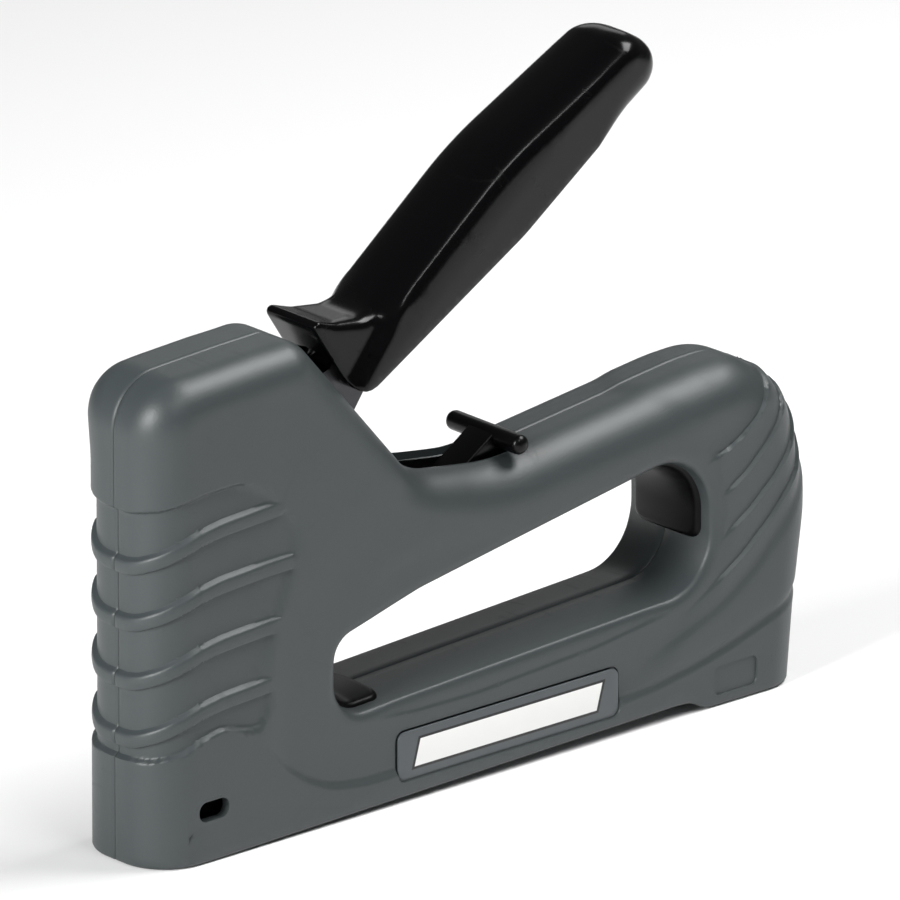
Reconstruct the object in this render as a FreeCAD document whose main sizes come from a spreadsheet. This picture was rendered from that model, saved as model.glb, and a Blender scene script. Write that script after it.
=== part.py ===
import FreeCAD, Part
import math
import os
import re
from types import SimpleNamespace

# Hand staple gun. Nose at -X, heel at +X, +Z up, seam between the two body shells at Y = 0.
# Origin: middle of the length and width, on the plane the nose and the heel stand on.

SIZES = {
    # body, as seen from the side
    "body_length": 188.5, "body_width": 28.8, "wall": 2.2,
    "head_height": 109.4, "head_slope": 2.1, "head_depth": 43.5, "head_front_bend": 12.0,
    "head_rear_bend": 8.0, "neck_run": 32.5, "neck_height": 71.5, "neck_bend": 14.0,
    "saddle_from_neck": 24.0, "saddle_height": 68.2, "saddle_bend": 45.0,
    "grip_height": 75.2, "grip_rear_gap": 30.5, "heel_top_gap": 6.5, "heel_top_rise": 0.8,
    "heel_top_bend": 22.0, "heel_belly_height": 42.0, "heel_belly_bend": 40.0,
    "heel_belly_flat": 9.0,
    "foot_height": 17.0, "foot_inset": 2.9, "foot_length": 29.5, "foot_step": 2.6,
    "foot_draft": 1.6, "nose_flat": 16.0,
    # body, as seen from above
    "front_corner": 11.5, "rear_corner": 10.0, "edge_round": 6.0,
    # hand opening
    "opening_front": 50.6, "opening_rear_gap": 30.9, "floor_front": 22.3, "floor_rear": 27.3,
    "roof_front": 40.3, "roof_bend_from_front": 24.4, "roof_middle": 46.6, "roof_rear": 60.5,
    "opening_wall": 3.5,
    # lever and its pivot
    "pivot_from_nose": 51.3, "pivot_below_top": 24.5, 
    "pin_radius": 3.0, "run_gap": 0.05, "boss_radius": 6.0, "boss_reach": 7.0,
    "lever_width": 26.0, "lever_front_width": 17.0, "lever_wall": 2.0,
    "slot_width": 12.0, "arm_width": 8.0, "arm_plate": 1.4, "hub_radius": 7.0,
    "hook_reach": 24.8, "hook_drop": 7.0, "hook_radius": 2.5,
    # driver, nose and power spring
    "play": 0.3, "nose_plate_gap": 3.2, "nose_plate": 1.2, "nose_half": 6.5,
    "blade_thick": 1.2, "blade_width": 10.4, "blade_bottom": 1.2, "blade_top": 57.0,
    "plunger_length": 16.0, "plunger_width": 13.0, "plunger_bottom": 44.0,
    "plunger_height": 16.0, "spring_radius": 6.3, "spring_wire": 1.8, "spring_turns": 7.0,
    "spring_room": 10.0, "lift_plate": 2.0, "guide_plate": 1.0, "guide_gap": 1.4, "bumper_height": 10.5,
    # magazine
    "channel_half": 7.2, "channel_top": 16.0, "channel_plate": 1.1, "channel_bottom": 2.8,
    "crown_width": 10.6, "staple_leg": 10.0, "staple_top": 13.7, "staple_wire": 0.9,
    "strip_length": 105.0, "rail_half": 3.9, "rail_wall": 0.9,
    "tray_floor": 1.4, "tray_plate": 1.2, "cap_length": 11.0, "cap_half": 6.6,
    "pusher_length": 12.0, "rod_radius": 1.2, "button_travel": 1.5,
    # handle lock
    "lock_from_nose": 88.7, "lock_height": 58.5, "lock_bar_run": 16.5, "lock_bar_rise": 12.7,
    "lock_bar_radius": 2.2, "lock_bar_length": 24.0, "lock_width": 8.0, "lock_hub": 3.8,
    "lock_pin_radius": 1.5,
    # finger pads, badges, screws
    "pad_width": 21.0, "pad_proud": 3.0, "badge_length": 63.0, "badge_height": 11.2,
    "badge_from_nose": 67.5, "badge_base": 4.6, "badge_thick": 0.5, "screw_radius": 1.5,
    "screw_head": 2.8, "screw_head_depth": 2.4, "screw_boss": 3.3, "screw_bite": 7.0,
}

doc = FreeCAD.newDocument("staple_gun")
sheet = doc.addObject("Spreadsheet::Sheet", "Sizes")
for row, (name, value) in enumerate(SIZES.items(), start=1):
    sheet.set(f"A{row}", name)
    sheet.set(f"B{row}", str(value))
    sheet.setAlias(f"B{row}", name)
doc.recompute()
s = SimpleNamespace(**{name: float(sheet.get(name)) for name in SIZES})

# Places that several pieces share, worked out from the sheet.
nose = -s.body_length / 2
rear = s.body_length / 2
half_width = s.body_width / 2
pivot_x = nose + s.pivot_from_nose
pivot_z = s.head_height - s.pivot_below_top
hook_x = pivot_x - s.hook_reach
hook_z = pivot_z - s.hook_drop
lock_x = nose + s.lock_from_nose
lock_pin_z = s.lock_height
blade_x = nose + s.nose_plate_gap + s.nose_plate + s.play / 2
plunger_x = blade_x + s.blade_thick
plunger_top = s.plunger_bottom + s.plunger_height
spring_x = plunger_x + s.plunger_length / 2
guide_top = s.head_height - s.spring_room
magazine_front = plunger_x + s.play
cap_x = rear - s.foot_inset - s.cap_length - s.play
pusher_x = magazine_front + s.strip_length + s.play


def bind(item, prop, text):
    """Bind a property to an expression whose words are aliases of the sheet."""
    names = "|".join(sorted(SIZES, key=len, reverse=True))
    item.setExpression(prop, re.sub(rf"\b({names})\b", r"Sizes.\1", text))


def bend_point(before, corner, after, radius):
    """Tangent points and middle of the arc that rounds one corner of an outline."""
    a = FreeCAD.Vector(before[0] - corner[0], before[1] - corner[1], 0).normalize()
    b = FreeCAD.Vector(after[0] - corner[0], after[1] - corner[1], 0).normalize()
    half = a.getAngle(b) / 2
    at = FreeCAD.Vector(corner[0], corner[1], 0)
    reach = radius / math.tan(half)
    middle = at + (a + b).normalize() * (radius / math.sin(half) - radius)
    return at + a * reach, middle, at + b * reach


def outline_edges(corners):
    """Lines and tangent arcs of a closed outline of (across, up, bend radius) corners."""
    ends = []
    for i, (x, z, radius) in enumerate(corners):
        before = corners[i - 1]
        after = corners[(i + 1) % len(corners)]
        if radius > 0:
            ends.append(bend_point(before, (x, z), after, radius))
        else:
            ends.append((FreeCAD.Vector(x, z, 0),) * 3)
    edges = []
    for i, (start, middle, end) in enumerate(ends):
        if corners[i][2] > 0:
            edges.append(Part.Arc(start, middle, end))
        following = ends[(i + 1) % len(ends)][0]
        if end.distanceToPoint(following) > 1e-6:
            edges.append(Part.LineSegment(end, following))
    return edges


def inset(corners, amount):
    """The same outline moved inward (outward when the amount is negative)."""
    count = len(corners)
    area = sum(corners[i - 1][0] * corners[i][1] - corners[i][0] * corners[i - 1][1]
               for i in range(count))
    side = 1 if area > 0 else -1
    moved = []
    for i, (x, z, radius) in enumerate(corners):
        ax, az = corners[i - 1][:2]
        bx, bz = corners[(i + 1) % count][:2]
        u = FreeCAD.Vector(x - ax, z - az, 0).normalize()
        w = FreeCAD.Vector(bx - x, bz - z, 0).normalize()
        turn_here = side * (u.x * w.y - u.y * w.x)
        along = (1 + u.dot(w))
        shift = FreeCAD.Vector(-u.y - w.y, u.x + w.x, 0) * (side * amount / along)
        bend = radius - amount if turn_here > 0 else radius + amount
        moved.append((x + shift.x, z + shift.y, max(bend, 0.0)))
    return moved


def prism(name, plane, corners, length, midplane=True, start="0"):
    """A body padded from an outline. XZ outlines run along Y, XY outlines run up Z."""
    body = doc.addObject("PartDesign::Body", name)
    sketch = body.newObject("Sketcher::SketchObject", name + "_outline")
    origin_plane = [f for f in body.Origin.OriginFeatures if f.Role == plane][0]
    sketch.AttachmentSupport = [(origin_plane, "")]
    sketch.MapMode = "FlatFace"
    for edge in outline_edges(corners):
        sketch.addGeometry(edge, False)
    pad = body.newObject("PartDesign::Pad", name + "_pad")
    pad.Profile = sketch
    pad.Midplane = midplane
    bind(pad, "Length", length)
    if plane == "XY_Plane":
        bind(body, "Placement.Base.z", start)
    elif not midplane:
        bind(body, "Placement.Base.y", start)
    return body


def box(name, x, y, z, across, deep, high):
    """A block from its lowest corner and its three sizes, all expressions."""
    item = doc.addObject("Part::Box", name)
    for prop, text in (("Placement.Base.x", x), ("Placement.Base.y", y),
                       ("Placement.Base.z", z), ("Length", across), ("Width", deep),
                       ("Height", high)):
        bind(item, prop, text)
    return item


def middle_box(name, x, z, across, deep, high):
    """A block centred on the seam."""
    return box(name, x, f"-({deep})/2", z, across, deep, high)


def rod(name, radius, length, x, y, z, along="Y"):
    """A round bar that starts at x, y, z and runs along one axis."""
    item = doc.addObject("Part::Cylinder", name)
    bind(item, "Radius", radius)
    bind(item, "Height", length)
    turns = {"X": FreeCAD.Rotation(FreeCAD.Vector(0, 1, 0), 90),
             "Y": FreeCAD.Rotation(FreeCAD.Vector(1, 0, 0), -90), "Z": FreeCAD.Rotation()}
    item.Placement = FreeCAD.Placement(FreeCAD.Vector(), turns[along])
    for prop, text in (("x", x), ("y", y), ("z", z)):
        bind(item, "Placement.Base." + prop, text)
    return item


def fuse(name, *items):
    joined = doc.addObject("Part::MultiFuse", name)
    joined.Shapes = list(items)
    joined.Refine = True
    return joined


def cut(name, base, *tools):
    result = base
    for i, tool in enumerate(tools):
        step = doc.addObject("Part::Cut", name if i == len(tools) - 1 else f"{name}_cut{i}")
        step.Base = result
        step.Tool = tool
        result = step
    return result


def common(name, base, tool):
    shared = doc.addObject("Part::Common", name)
    shared.Base = base
    shared.Tool = tool
    return shared


def round_edges(name, base, chooses, radius):
    """Round the edges of a finished shape that the test picks."""
    doc.recompute()
    picked = [i for i, edge in enumerate(base.Shape.Edges, start=1) if chooses(edge)]
    rounded = doc.addObject("Part::Fillet", name)
    rounded.Base = base
    rounded.Edges = [(i, radius, radius) for i in picked]
    return rounded


NODES = []


def node(name, item):
    """Keep one finished piece under the name its file gets."""
    item.Label = name
    NODES.append(item)
    return item


# Expressions for the places above, so that blocks and rods follow the sheet by themselves.
NOSE = "(-body_length/2)"
REAR = "(body_length/2)"
PIVOT_X = f"({NOSE} + pivot_from_nose)"
PIVOT_Z = "(head_height - pivot_below_top)"
BLADE_X = f"({NOSE} + nose_plate_gap + nose_plate + play/2)"
PLUNGER_X = f"({BLADE_X} + blade_thick)"
PLUNGER_TOP = "(plunger_bottom + plunger_height)"
SPRING_X = f"({PLUNGER_X} + plunger_length/2)"
GUIDE_TOP = "(head_height - spring_room)"
MAGAZINE_FRONT = f"({PLUNGER_X} + play)"
CAP_X = f"({REAR} - foot_inset - cap_length - play)"
PUSHER_X = f"({MAGAZINE_FRONT} + strip_length + play)"
LOCK_X = f"({NOSE} + lock_from_nose)"


# ---------------------------------------------------------------- outlines seen from the side

foot_x = rear - s.foot_inset - s.foot_length
body_outline = [
    (nose, 0, 0),
    (nose + s.nose_flat, 0, 0),
    (foot_x - 2 * s.foot_step, s.foot_step, 0),
    (foot_x, 0, 0),
    (rear - s.foot_inset - s.foot_draft, 0, 0),
    (rear - s.foot_inset, s.foot_height, s.heel_belly_bend),
    (rear, s.heel_belly_height - s.heel_belly_flat / 2, s.heel_belly_bend),
    (rear, s.heel_belly_height + s.heel_belly_flat / 2, s.heel_belly_bend),
    (rear - s.heel_top_gap, s.grip_height + s.heel_top_rise, s.heel_top_bend),
    (rear - s.grip_rear_gap, s.grip_height, 60.0),
    (nose + s.head_depth + s.neck_run + s.saddle_from_neck, s.saddle_height, s.saddle_bend),
    (nose + s.head_depth + s.neck_run, s.neck_height, s.neck_bend),
    (nose + s.head_depth, s.head_height, s.head_rear_bend),
    (nose, s.head_height - s.head_slope, s.head_front_bend),
]
opening_outline = [
    (nose + s.opening_front, s.floor_front, 8.0),
    (rear - s.opening_rear_gap, s.floor_rear, 13.0),
    (rear - s.opening_rear_gap, s.roof_rear, 14.0),
    (nose + s.opening_front + s.roof_bend_from_front, s.roof_middle, 40.0),
    (nose + s.opening_front, s.roof_front, 6.0),
]
plan_outline = [
    (nose, -half_width, s.front_corner),
    (rear, -half_width, s.rear_corner),
    (rear, half_width, s.rear_corner),
    (nose, half_width, s.front_corner),
]
slot_outline = [
    (pivot_x - 0.8, s.head_height, 0),
    (pivot_x - 0.8, pivot_z - 5, 0),
    (pivot_x + 12, s.neck_height - 9, 0),
    (lock_x + s.lock_bar_run + 6, s.saddle_height - 7, 0),
    (lock_x + s.lock_bar_run + 6, s.saddle_height + 12, 0),
    (pivot_x + 30, pivot_z + 5, 0),
    (pivot_x + 10, s.head_height + 3, 0),
]


# ---------------------------------------------------------------- body shells

ALL_HIGH = "head_height*2"


def rounded_form(name, gap, bend):
    """The body's form, the gap smaller all round, with its long side edges rounded."""
    side = prism(name + "_side", "XZ_Plane", inset(body_outline, gap),
                 f"body_width - 2*{gap}")
    face = half_width - gap

    def on_side_face(edge):
        on_face = all(abs(abs(v.Y) - face) < 1e-4 for v in edge.Vertexes)
        return on_face and edge.CenterOfMass.z > s.foot_height

    rounded = round_edges(name + "_rounded", side, on_side_face, bend)
    plan = prism(name + "_plan", "XY_Plane", inset(plan_outline, gap), ALL_HIGH,
                 start="head_height/2")
    return common(name, rounded, plan)


outer = rounded_form("outer_form", 0, s.edge_round)
inner = rounded_form("inner_form", s.wall, s.edge_round - s.wall)
ring = prism("opening_ring", "XZ_Plane", inset(opening_outline, -s.opening_wall),
             "body_width*2")
cavity = cut("cavity", inner, ring)
hand_hole = prism("hand_hole", "XZ_Plane", opening_outline, "body_width*2")
hollow = cut("hollow_form", outer, cavity, hand_hole)

# Screw posts: (distance from the nose, height), the last two counted from the rear.
SCREW_PLACES = [
    (f"{NOSE} + head_depth - 6", "head_height - 7.5"),
    (f"{NOSE} + opening_front - opening_wall - screw_boss", "roof_front + 10"),
    (f"{NOSE} + opening_front - opening_wall - screw_boss - 1", "channel_top + 6"),
    (f"{REAR} - opening_rear_gap - 32", "grip_height - 8.5"),
    (f"{REAR} - 14", "heel_belly_height + 14"),
    (f"{REAR} - 14", "foot_height + 8"),
]
posts = [rod(f"post{i}", "screw_boss", "body_width - 2*wall", x,
             "-(body_width/2 - wall)", z)
         for i, (x, z) in enumerate(SCREW_PLACES)]
pivot_posts = [rod("pivot_post_left", "boss_radius", "body_width/2 - wall - boss_reach + wall/2",
                   PIVOT_X, "-(body_width/2 - wall/2)", PIVOT_Z),
               rod("pivot_post_right", "boss_radius",
                   "body_width/2 - wall - boss_reach + wall/2", PIVOT_X, "boss_reach", PIVOT_Z)]
lock_posts = [rod("lock_post_left", "lock_hub", "body_width/2 - wall/2 - lock_width/2 - 1",
                  LOCK_X, "-(body_width/2 - wall/2)", "lock_height"),
              rod("lock_post_right", "lock_hub", "body_width/2 - wall/2 - lock_width/2 - 1",
                  LOCK_X, "lock_width/2 + 1", "lock_height")]
inside_posts = common("inside_posts", fuse("all_posts", *posts, *pivot_posts, *lock_posts),
                      outer)
filled = fuse("filled_form", hollow, inside_posts)

pin_hole = rod("pin_hole", "pin_radius + run_gap", "body_width - 2*wall", PIVOT_X,
               "-(body_width/2 - wall)", PIVOT_Z)
lock_hole = rod("lock_hole", "lock_pin_radius + run_gap", "body_width - 2*wall", LOCK_X,
                "-(body_width/2 - wall)", "lock_height")
slot = prism("lever_slot", "XZ_Plane", slot_outline, "slot_width")
magazine_way = middle_box("magazine_way", f"{BLADE_X} - play", "-1",
                          "body_length", "2*channel_half + 2*play",
                          "channel_top + play + 1")
blade_way = middle_box("blade_way", f"{NOSE} + nose_plate_gap - play/2", "-1", "8",
                       "2*nose_half + 2*play", "wall + 2")
screw_ways = []
for i, (x, z) in enumerate(SCREW_PLACES):
    screw_ways.append(rod(f"shank_way{i}", "screw_radius", "body_width/2 + screw_bite", x,
                          "-screw_bite", z))
    screw_ways.append(rod(f"head_way{i}", "screw_head + play", "screw_head_depth + 0.4", x,
                          "body_width/2 - screw_head_depth - 0.4", z))
badge_z = "badge_base"
badge_ways = [box("badge_way_left", f"{NOSE} + badge_from_nose", "-body_width/2 - 1", badge_z,
                  "badge_length", "badge_thick + 1", "badge_height"),
              box("badge_way_right", f"{NOSE} + badge_from_nose",
                  "body_width/2 - badge_thick", badge_z, "badge_length",
                  "badge_thick + 1", "badge_height")]
window = fuse("window_way",
              box("window_slot", f"{NOSE} + 13.6", "-body_width", "9.2", "4.2",
                  "2*body_width", "4.4"),
              rod("window_front", "2.2", "2*body_width", f"{NOSE} + 13.6", "-body_width",
                  "11.4"),
              rod("window_rear", "2.2", "2*body_width", f"{NOSE} + 17.8", "-body_width",
                  "11.4"))
casing = cut("casing", filled, pin_hole, lock_hole, slot, magazine_way, blade_way,
             fuse("all_screw_ways", *screw_ways), fuse("all_badge_ways", *badge_ways), window)
BIG = "body_length*2"
near_half = box("near_half", f"-{BIG}/2", f"-{BIG}", "-10", BIG, BIG, BIG)
far_half = box("far_half", f"-{BIG}/2", "0", "-10", BIG, BIG, BIG)
node("left_shell", common("left_shell", casing, near_half))
node("right_shell", common("right_shell", casing, far_half))


# ---------------------------------------------------------------- screws, pads and badges

screws = []
for i, (x, z) in enumerate(SCREW_PLACES):
    shank = rod(f"screw_shank{i}", "screw_radius", "body_width/2 + screw_bite - 1", x,
                "-screw_bite + 0.5", z)
    head = rod(f"screw_head{i}", "screw_head", "screw_head_depth", x,
               "body_width/2 - screw_head_depth - 0.4", z)
    socket = rod(f"screw_socket{i}", "1.1", "1.6", x, "body_width/2 - 1.8", z)
    screws.append(cut(f"screw{i}", fuse(f"screw_body{i}", shank, head), socket))
screw_group = doc.addObject("Part::Compound", "shell_screws")
screw_group.Links = screws
node("shell_screws", screw_group)

front_x = nose + s.opening_front
rear_x = rear - s.opening_rear_gap
front_pad_outline = [
    (front_x - s.opening_wall / 2, s.floor_front - s.opening_wall / 2, 0),
    (front_x + 17, s.floor_front - s.opening_wall / 2, 0),
    (front_x + 17, s.floor_front + 1.4, 1.2),
    (front_x + 8, s.floor_front + s.pad_proud + 2.0, 8.0),
    (front_x + s.pad_proud, s.floor_front + 11, 2.0),
    (front_x - s.opening_wall / 2, s.floor_front + 11, 0),
]
rear_pad_outline = [
    (rear_x + s.opening_wall / 2, s.floor_rear + 9, 0),
    (rear_x + s.opening_wall / 2, s.roof_rear + s.opening_wall / 2, 0),
    (rear_x - 15, s.roof_rear + s.opening_wall / 2, 0),
    (rear_x - 15, s.roof_rear - 5, 0.8),
    (rear_x - s.pad_proud - 1.5, s.roof_rear - 11, 7.0),
    (rear_x - s.pad_proud, s.floor_rear + 9, 1.2),
]
pad_space = prism("pad_space", "XZ_Plane", inset(opening_outline, s.run_gap), "pad_width*2")
node("front_finger_pad", common(
    "front_finger_pad", prism("front_pad_form", "XZ_Plane", front_pad_outline, "pad_width"),
    pad_space))
node("rear_finger_pad", common(
    "rear_finger_pad", prism("rear_pad_form", "XZ_Plane", rear_pad_outline, "pad_width"),
    pad_space))
node("left_badge", box("left_badge", f"{NOSE} + badge_from_nose + play/2",
                       "-body_width/2", "badge_base + play/2", "badge_length - play",
                       "badge_thick", "badge_height - play"))
node("right_badge", box("right_badge", f"{NOSE} + badge_from_nose + play/2",
                        "body_width/2 - badge_thick", "badge_base + play/2",
                        "badge_length - play", "badge_thick", "badge_height - play"))


# ---------------------------------------------------------------- lever, its arm and pivot

lever_outline = [
    (pivot_x + 10.0, pivot_z + 6.0, 5.5),
    (pivot_x + 56.7, pivot_z + 26.5, 45.0),
    (pivot_x + 84.5, pivot_z + 49.0, 30.0),
    (pivot_x + 94.0, pivot_z + 68.5, 6.5),
    (pivot_x + 84.0, pivot_z + 73.5, 8.0),
    (pivot_x + 48.0, pivot_z + 54.5, 90.0),
    (pivot_x + 14.5, pivot_z + 20.5, 9.0),
    (pivot_x + 4.5, pivot_z + 24.4, 6.0),
    (pivot_x - 2.6, pivot_z + 26.6, 0.8),
    (pivot_x - 1.4, pivot_z + 24.0, 0.8),
    (pivot_x + 3.0, pivot_z + 17.0, 3.0),
]


def lever_plan(gap):
    """The lever from above, the gap smaller all round: narrow in front, rounded behind."""
    front = s.lever_front_width / 2 - gap
    back = s.lever_width / 2 - gap
    ahead = pivot_x - 12 + gap
    behind = pivot_x + 94.5 - gap
    return [
        (ahead, -front, 0), (pivot_x + 6, -front, 14), (pivot_x + 22, -(front + back) / 2, 30),
        (pivot_x + 55, -back, 60), (behind, -back, 9 - gap), (behind, back, 9 - gap),
        (pivot_x + 55, back, 60), (pivot_x + 22, (front + back) / 2, 30),
        (pivot_x + 6, front, 14), (ahead, front, 0),
    ]


def lever_core_outline(gap):
    """The space under the lever's top wall, open below."""
    top = inset(lever_outline, gap)
    return [
        (pivot_x + 5.0, pivot_z - 8, 0), (pivot_x + 89, pivot_z - 8, 0),
        (pivot_x + 89, pivot_z + 62.0, 4.0), top[4], top[5], top[6],
        (pivot_x + 5.0, pivot_z + 21.3, 0),
    ]


lever_form = common("lever_form",
                    prism("lever_side", "XZ_Plane", lever_outline, "body_width*2"),
                    prism("lever_top", "XY_Plane", lever_plan(0), ALL_HIGH,
                          start="head_height"))
lever_hollow = common("lever_hollow",
                      prism("lever_core", "XZ_Plane", lever_core_outline(s.lever_wall),
                            "body_width*2"),
                      prism("lever_core_top", "XY_Plane", lever_plan(s.lever_wall), ALL_HIGH,
                            start="head_height"))
node("lever_cover", cut("lever_cover", lever_form, lever_hollow))

arm_outline = [
    (hook_x - s.hook_radius, hook_z - s.hook_radius, s.hook_radius * 0.95),
    (pivot_x - 13, hook_z - s.hook_radius, 3.0),
    (pivot_x - 4, pivot_z - s.hub_radius, 4.0),
    (pivot_x + 7, pivot_z - s.hub_radius + 1, 5.0),
    (pivot_x + 24, pivot_z + 18, 10.0),
    (pivot_x + 62, pivot_z + 40, 3.0),
    (pivot_x + 59, pivot_z + 46, 3.0),
    (pivot_x + 14, pivot_z + 15.5, 12.0),
    (pivot_x - 3, pivot_z + 10.5, 6.0),
    (pivot_x - 18, hook_z + s.hook_radius, 4.0),
    (hook_x - s.hook_radius, hook_z + s.hook_radius, s.hook_radius * 0.95),
]
arm_core_outline = [
    (pivot_x - 11, pivot_z - 22, 0), (pivot_x + 80, pivot_z - 22, 0),
    (pivot_x + 64, pivot_z + 39, 0), (pivot_x + 15, pivot_z + 10.0, 8.0),
    (pivot_x - 11, pivot_z + 5.8, 0),
]
arm = cut("lever_arm", prism("arm_form", "XZ_Plane", arm_outline, "arm_width"),
          prism("arm_core", "XZ_Plane", arm_core_outline, "arm_width - 2*arm_plate"),
          rod("arm_hole", "pin_radius + run_gap", "body_width*2", PIVOT_X, "-body_width",
              PIVOT_Z),
          rod("rivet_hole_front", "1.5", "body_width*2", f"{PIVOT_X} + 28", "-body_width",
              f"{PIVOT_Z} + 22.6"),
          rod("rivet_hole_rear", "1.5", "body_width*2", f"{PIVOT_X} + 52", "-body_width",
              f"{PIVOT_Z} + 38.2"))
node("lever_arm", arm)
CROSS = "arm_width + 5"
lever_pins = doc.addObject("Part::Compound", "cover_pins")
lever_pins.Links = [
    rod("front_cover_pin", "1.5", CROSS, f"{PIVOT_X} + 28", f"-({CROSS})/2",
        f"{PIVOT_Z} + 22.6"),
    rod("rear_cover_pin", "1.5", CROSS, f"{PIVOT_X} + 52", f"-({CROSS})/2",
        f"{PIVOT_Z} + 38.2")]
node("cover_pins", lever_pins)
node("lever_pin", rod("lever_pin", "pin_radius", "body_width - 2*wall - play", PIVOT_X,
                      "-(body_width - 2*wall - play)/2", PIVOT_Z))
WASHER = "(boss_reach - arm_width/2 - play)"
for side, start in (("left", f"-arm_width/2 - {WASHER} - play/2"),
                    ("right", "arm_width/2 + play/2")):
    ring_form = rod(f"washer_form_{side}", "boss_radius - 0.5", WASHER, PIVOT_X, start, PIVOT_Z)
    ring_bore = rod(f"washer_bore_{side}", "pin_radius + run_gap", WASHER, PIVOT_X, start,
                    PIVOT_Z)
    node(f"pivot_washer_{side}", cut(f"pivot_washer_{side}", ring_form, ring_bore))


def coil(name, radius, wire, turns, length, place, rotation=FreeCAD.Rotation()):
    """A round wire spring that starts at its placement and grows along its own Z."""
    pitch = (length - wire) / turns
    path = Part.makeHelix(pitch, length - wire, radius - wire / 2)
    start = FreeCAD.Vector(radius - wire / 2, 0, 0)
    slope = FreeCAD.Vector(0, 2 * math.pi * (radius - wire / 2), pitch)
    section = Part.Wire(Part.makeCircle(wire / 2, start, slope))
    solid = Part.Wire(path.Edges).makePipeShell([section], True, True)
    item = doc.addObject("Part::Feature", name)
    item.Shape = solid
    item.Placement = FreeCAD.Placement(place, rotation)
    return item


ALONG_Y = FreeCAD.Rotation(FreeCAD.Vector(1, 0, 0), -90)
ALONG_X = FreeCAD.Rotation(FreeCAD.Vector(0, 1, 0), 90)
return_room = s.arm_width - 2 * s.arm_plate - s.play
node("return_spring", coil("return_spring", s.hub_radius - 2.0, 1.1, 2.75, return_room,
                           FreeCAD.Vector(pivot_x, -return_room / 2 + 0.55, pivot_z),
                           ALONG_Y))


# ---------------------------------------------------------------- driver and power spring

node("nose_plate", middle_box("nose_plate", f"{NOSE} + nose_plate_gap", "0.4", "nose_plate",
                              "2*nose_half", f"{PLUNGER_TOP} + 6"))
blade = cut("driver_blade",
            middle_box("blade_form", BLADE_X, "blade_bottom", "blade_thick", "blade_width",
                       "blade_top - blade_bottom"),
            rod("blade_hole", "rod_radius + run_gap", "blade_thick", BLADE_X, "0",
                f"{PLUNGER_TOP} - 8", "X"))
node("driver_blade", blade)
node("blade_rivet", rod("blade_rivet", "rod_radius", "blade_thick + 6", BLADE_X, "0",
                        f"{PLUNGER_TOP} - 8", "X"))
HOOK_Z = f"({PIVOT_Z} - hook_drop)"
HOOK_SWEEP = "sqrt(hook_reach*hook_reach + hook_drop*hook_drop)"
lift_wall_x = f"({PIVOT_X} - {HOOK_SWEEP} - hook_radius - play - lift_plate)"
lip_z = f"({HOOK_Z} + hook_radius + play)"
plunger = cut("plunger",
              fuse("plunger_form",
                   middle_box("plunger_block", PLUNGER_X, "plunger_bottom", "plunger_length",
                              "plunger_width", "plunger_height"),
                   middle_box("lift_foot", lift_wall_x, "plunger_bottom", "lift_plate",
                              "plunger_width", "plunger_height"),
                   middle_box("lift_wall", lift_wall_x, "plunger_bottom", "lift_plate",
                              "plunger_width - 3", f"{lip_z} + 3 - plunger_bottom"),
                   middle_box("lift_lip", lift_wall_x, lip_z,
                              f"{PIVOT_X} - hook_reach + 1 - {lift_wall_x}",
                              "plunger_width - 3", "3")),
              rod("rivet_way", "rod_radius + run_gap", "6", PLUNGER_X, "0",
                  f"{PLUNGER_TOP} - 8", "X"))
node("plunger", plunger)
GUIDE_X = f"({PLUNGER_X} + 1)"
GUIDE_HALF = "(plunger_width/2 + guide_gap)"
SEAT = "(plunger_bottom - play - bumper_height)"
guide = fuse("plunger_guide",
             box("guide_left", GUIDE_X, f"-{GUIDE_HALF} - guide_plate", f"{SEAT} - guide_plate",
                 "plunger_length - 2", "guide_plate", f"{GUIDE_TOP} - {SEAT} + 2*guide_plate"),
             box("guide_right", GUIDE_X, GUIDE_HALF, f"{SEAT} - guide_plate",
                 "plunger_length - 2", "guide_plate", f"{GUIDE_TOP} - {SEAT} + 2*guide_plate"),
             middle_box("guide_roof", GUIDE_X, GUIDE_TOP, "plunger_length - 2",
                        f"2*{GUIDE_HALF} + 2*guide_plate", "guide_plate"),
             middle_box("guide_shelf", GUIDE_X, f"{SEAT} - guide_plate", "plunger_length - 2",
                        f"2*{GUIDE_HALF} + 2*guide_plate", "guide_plate"))
node("plunger_guide", guide)
node("bumper", middle_box("bumper", f"{PLUNGER_X} + 1.5", SEAT, "plunger_length - 3",
                          "plunger_width", "bumper_height"))
node("spring_cap", fuse("spring_cap",
                        rod("cap_disc", "spring_radius", "2", SPRING_X, "0",
                            f"{GUIDE_TOP} - 2", "Z"),
                        rod("cap_nose", "spring_radius - spring_wire - 0.5", "8", SPRING_X,
                            "0", f"{GUIDE_TOP} - 8", "Z")))
spring_length = guide_top - 2 - plunger_top - s.play
node("power_spring", coil("power_spring", s.spring_radius, s.spring_wire, s.spring_turns,
                          spring_length - 0.2,
                          FreeCAD.Vector(spring_x, 0,
                                         plunger_top + s.spring_wire / 2 + s.play / 2)))


# ---------------------------------------------------------------- magazine

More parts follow.
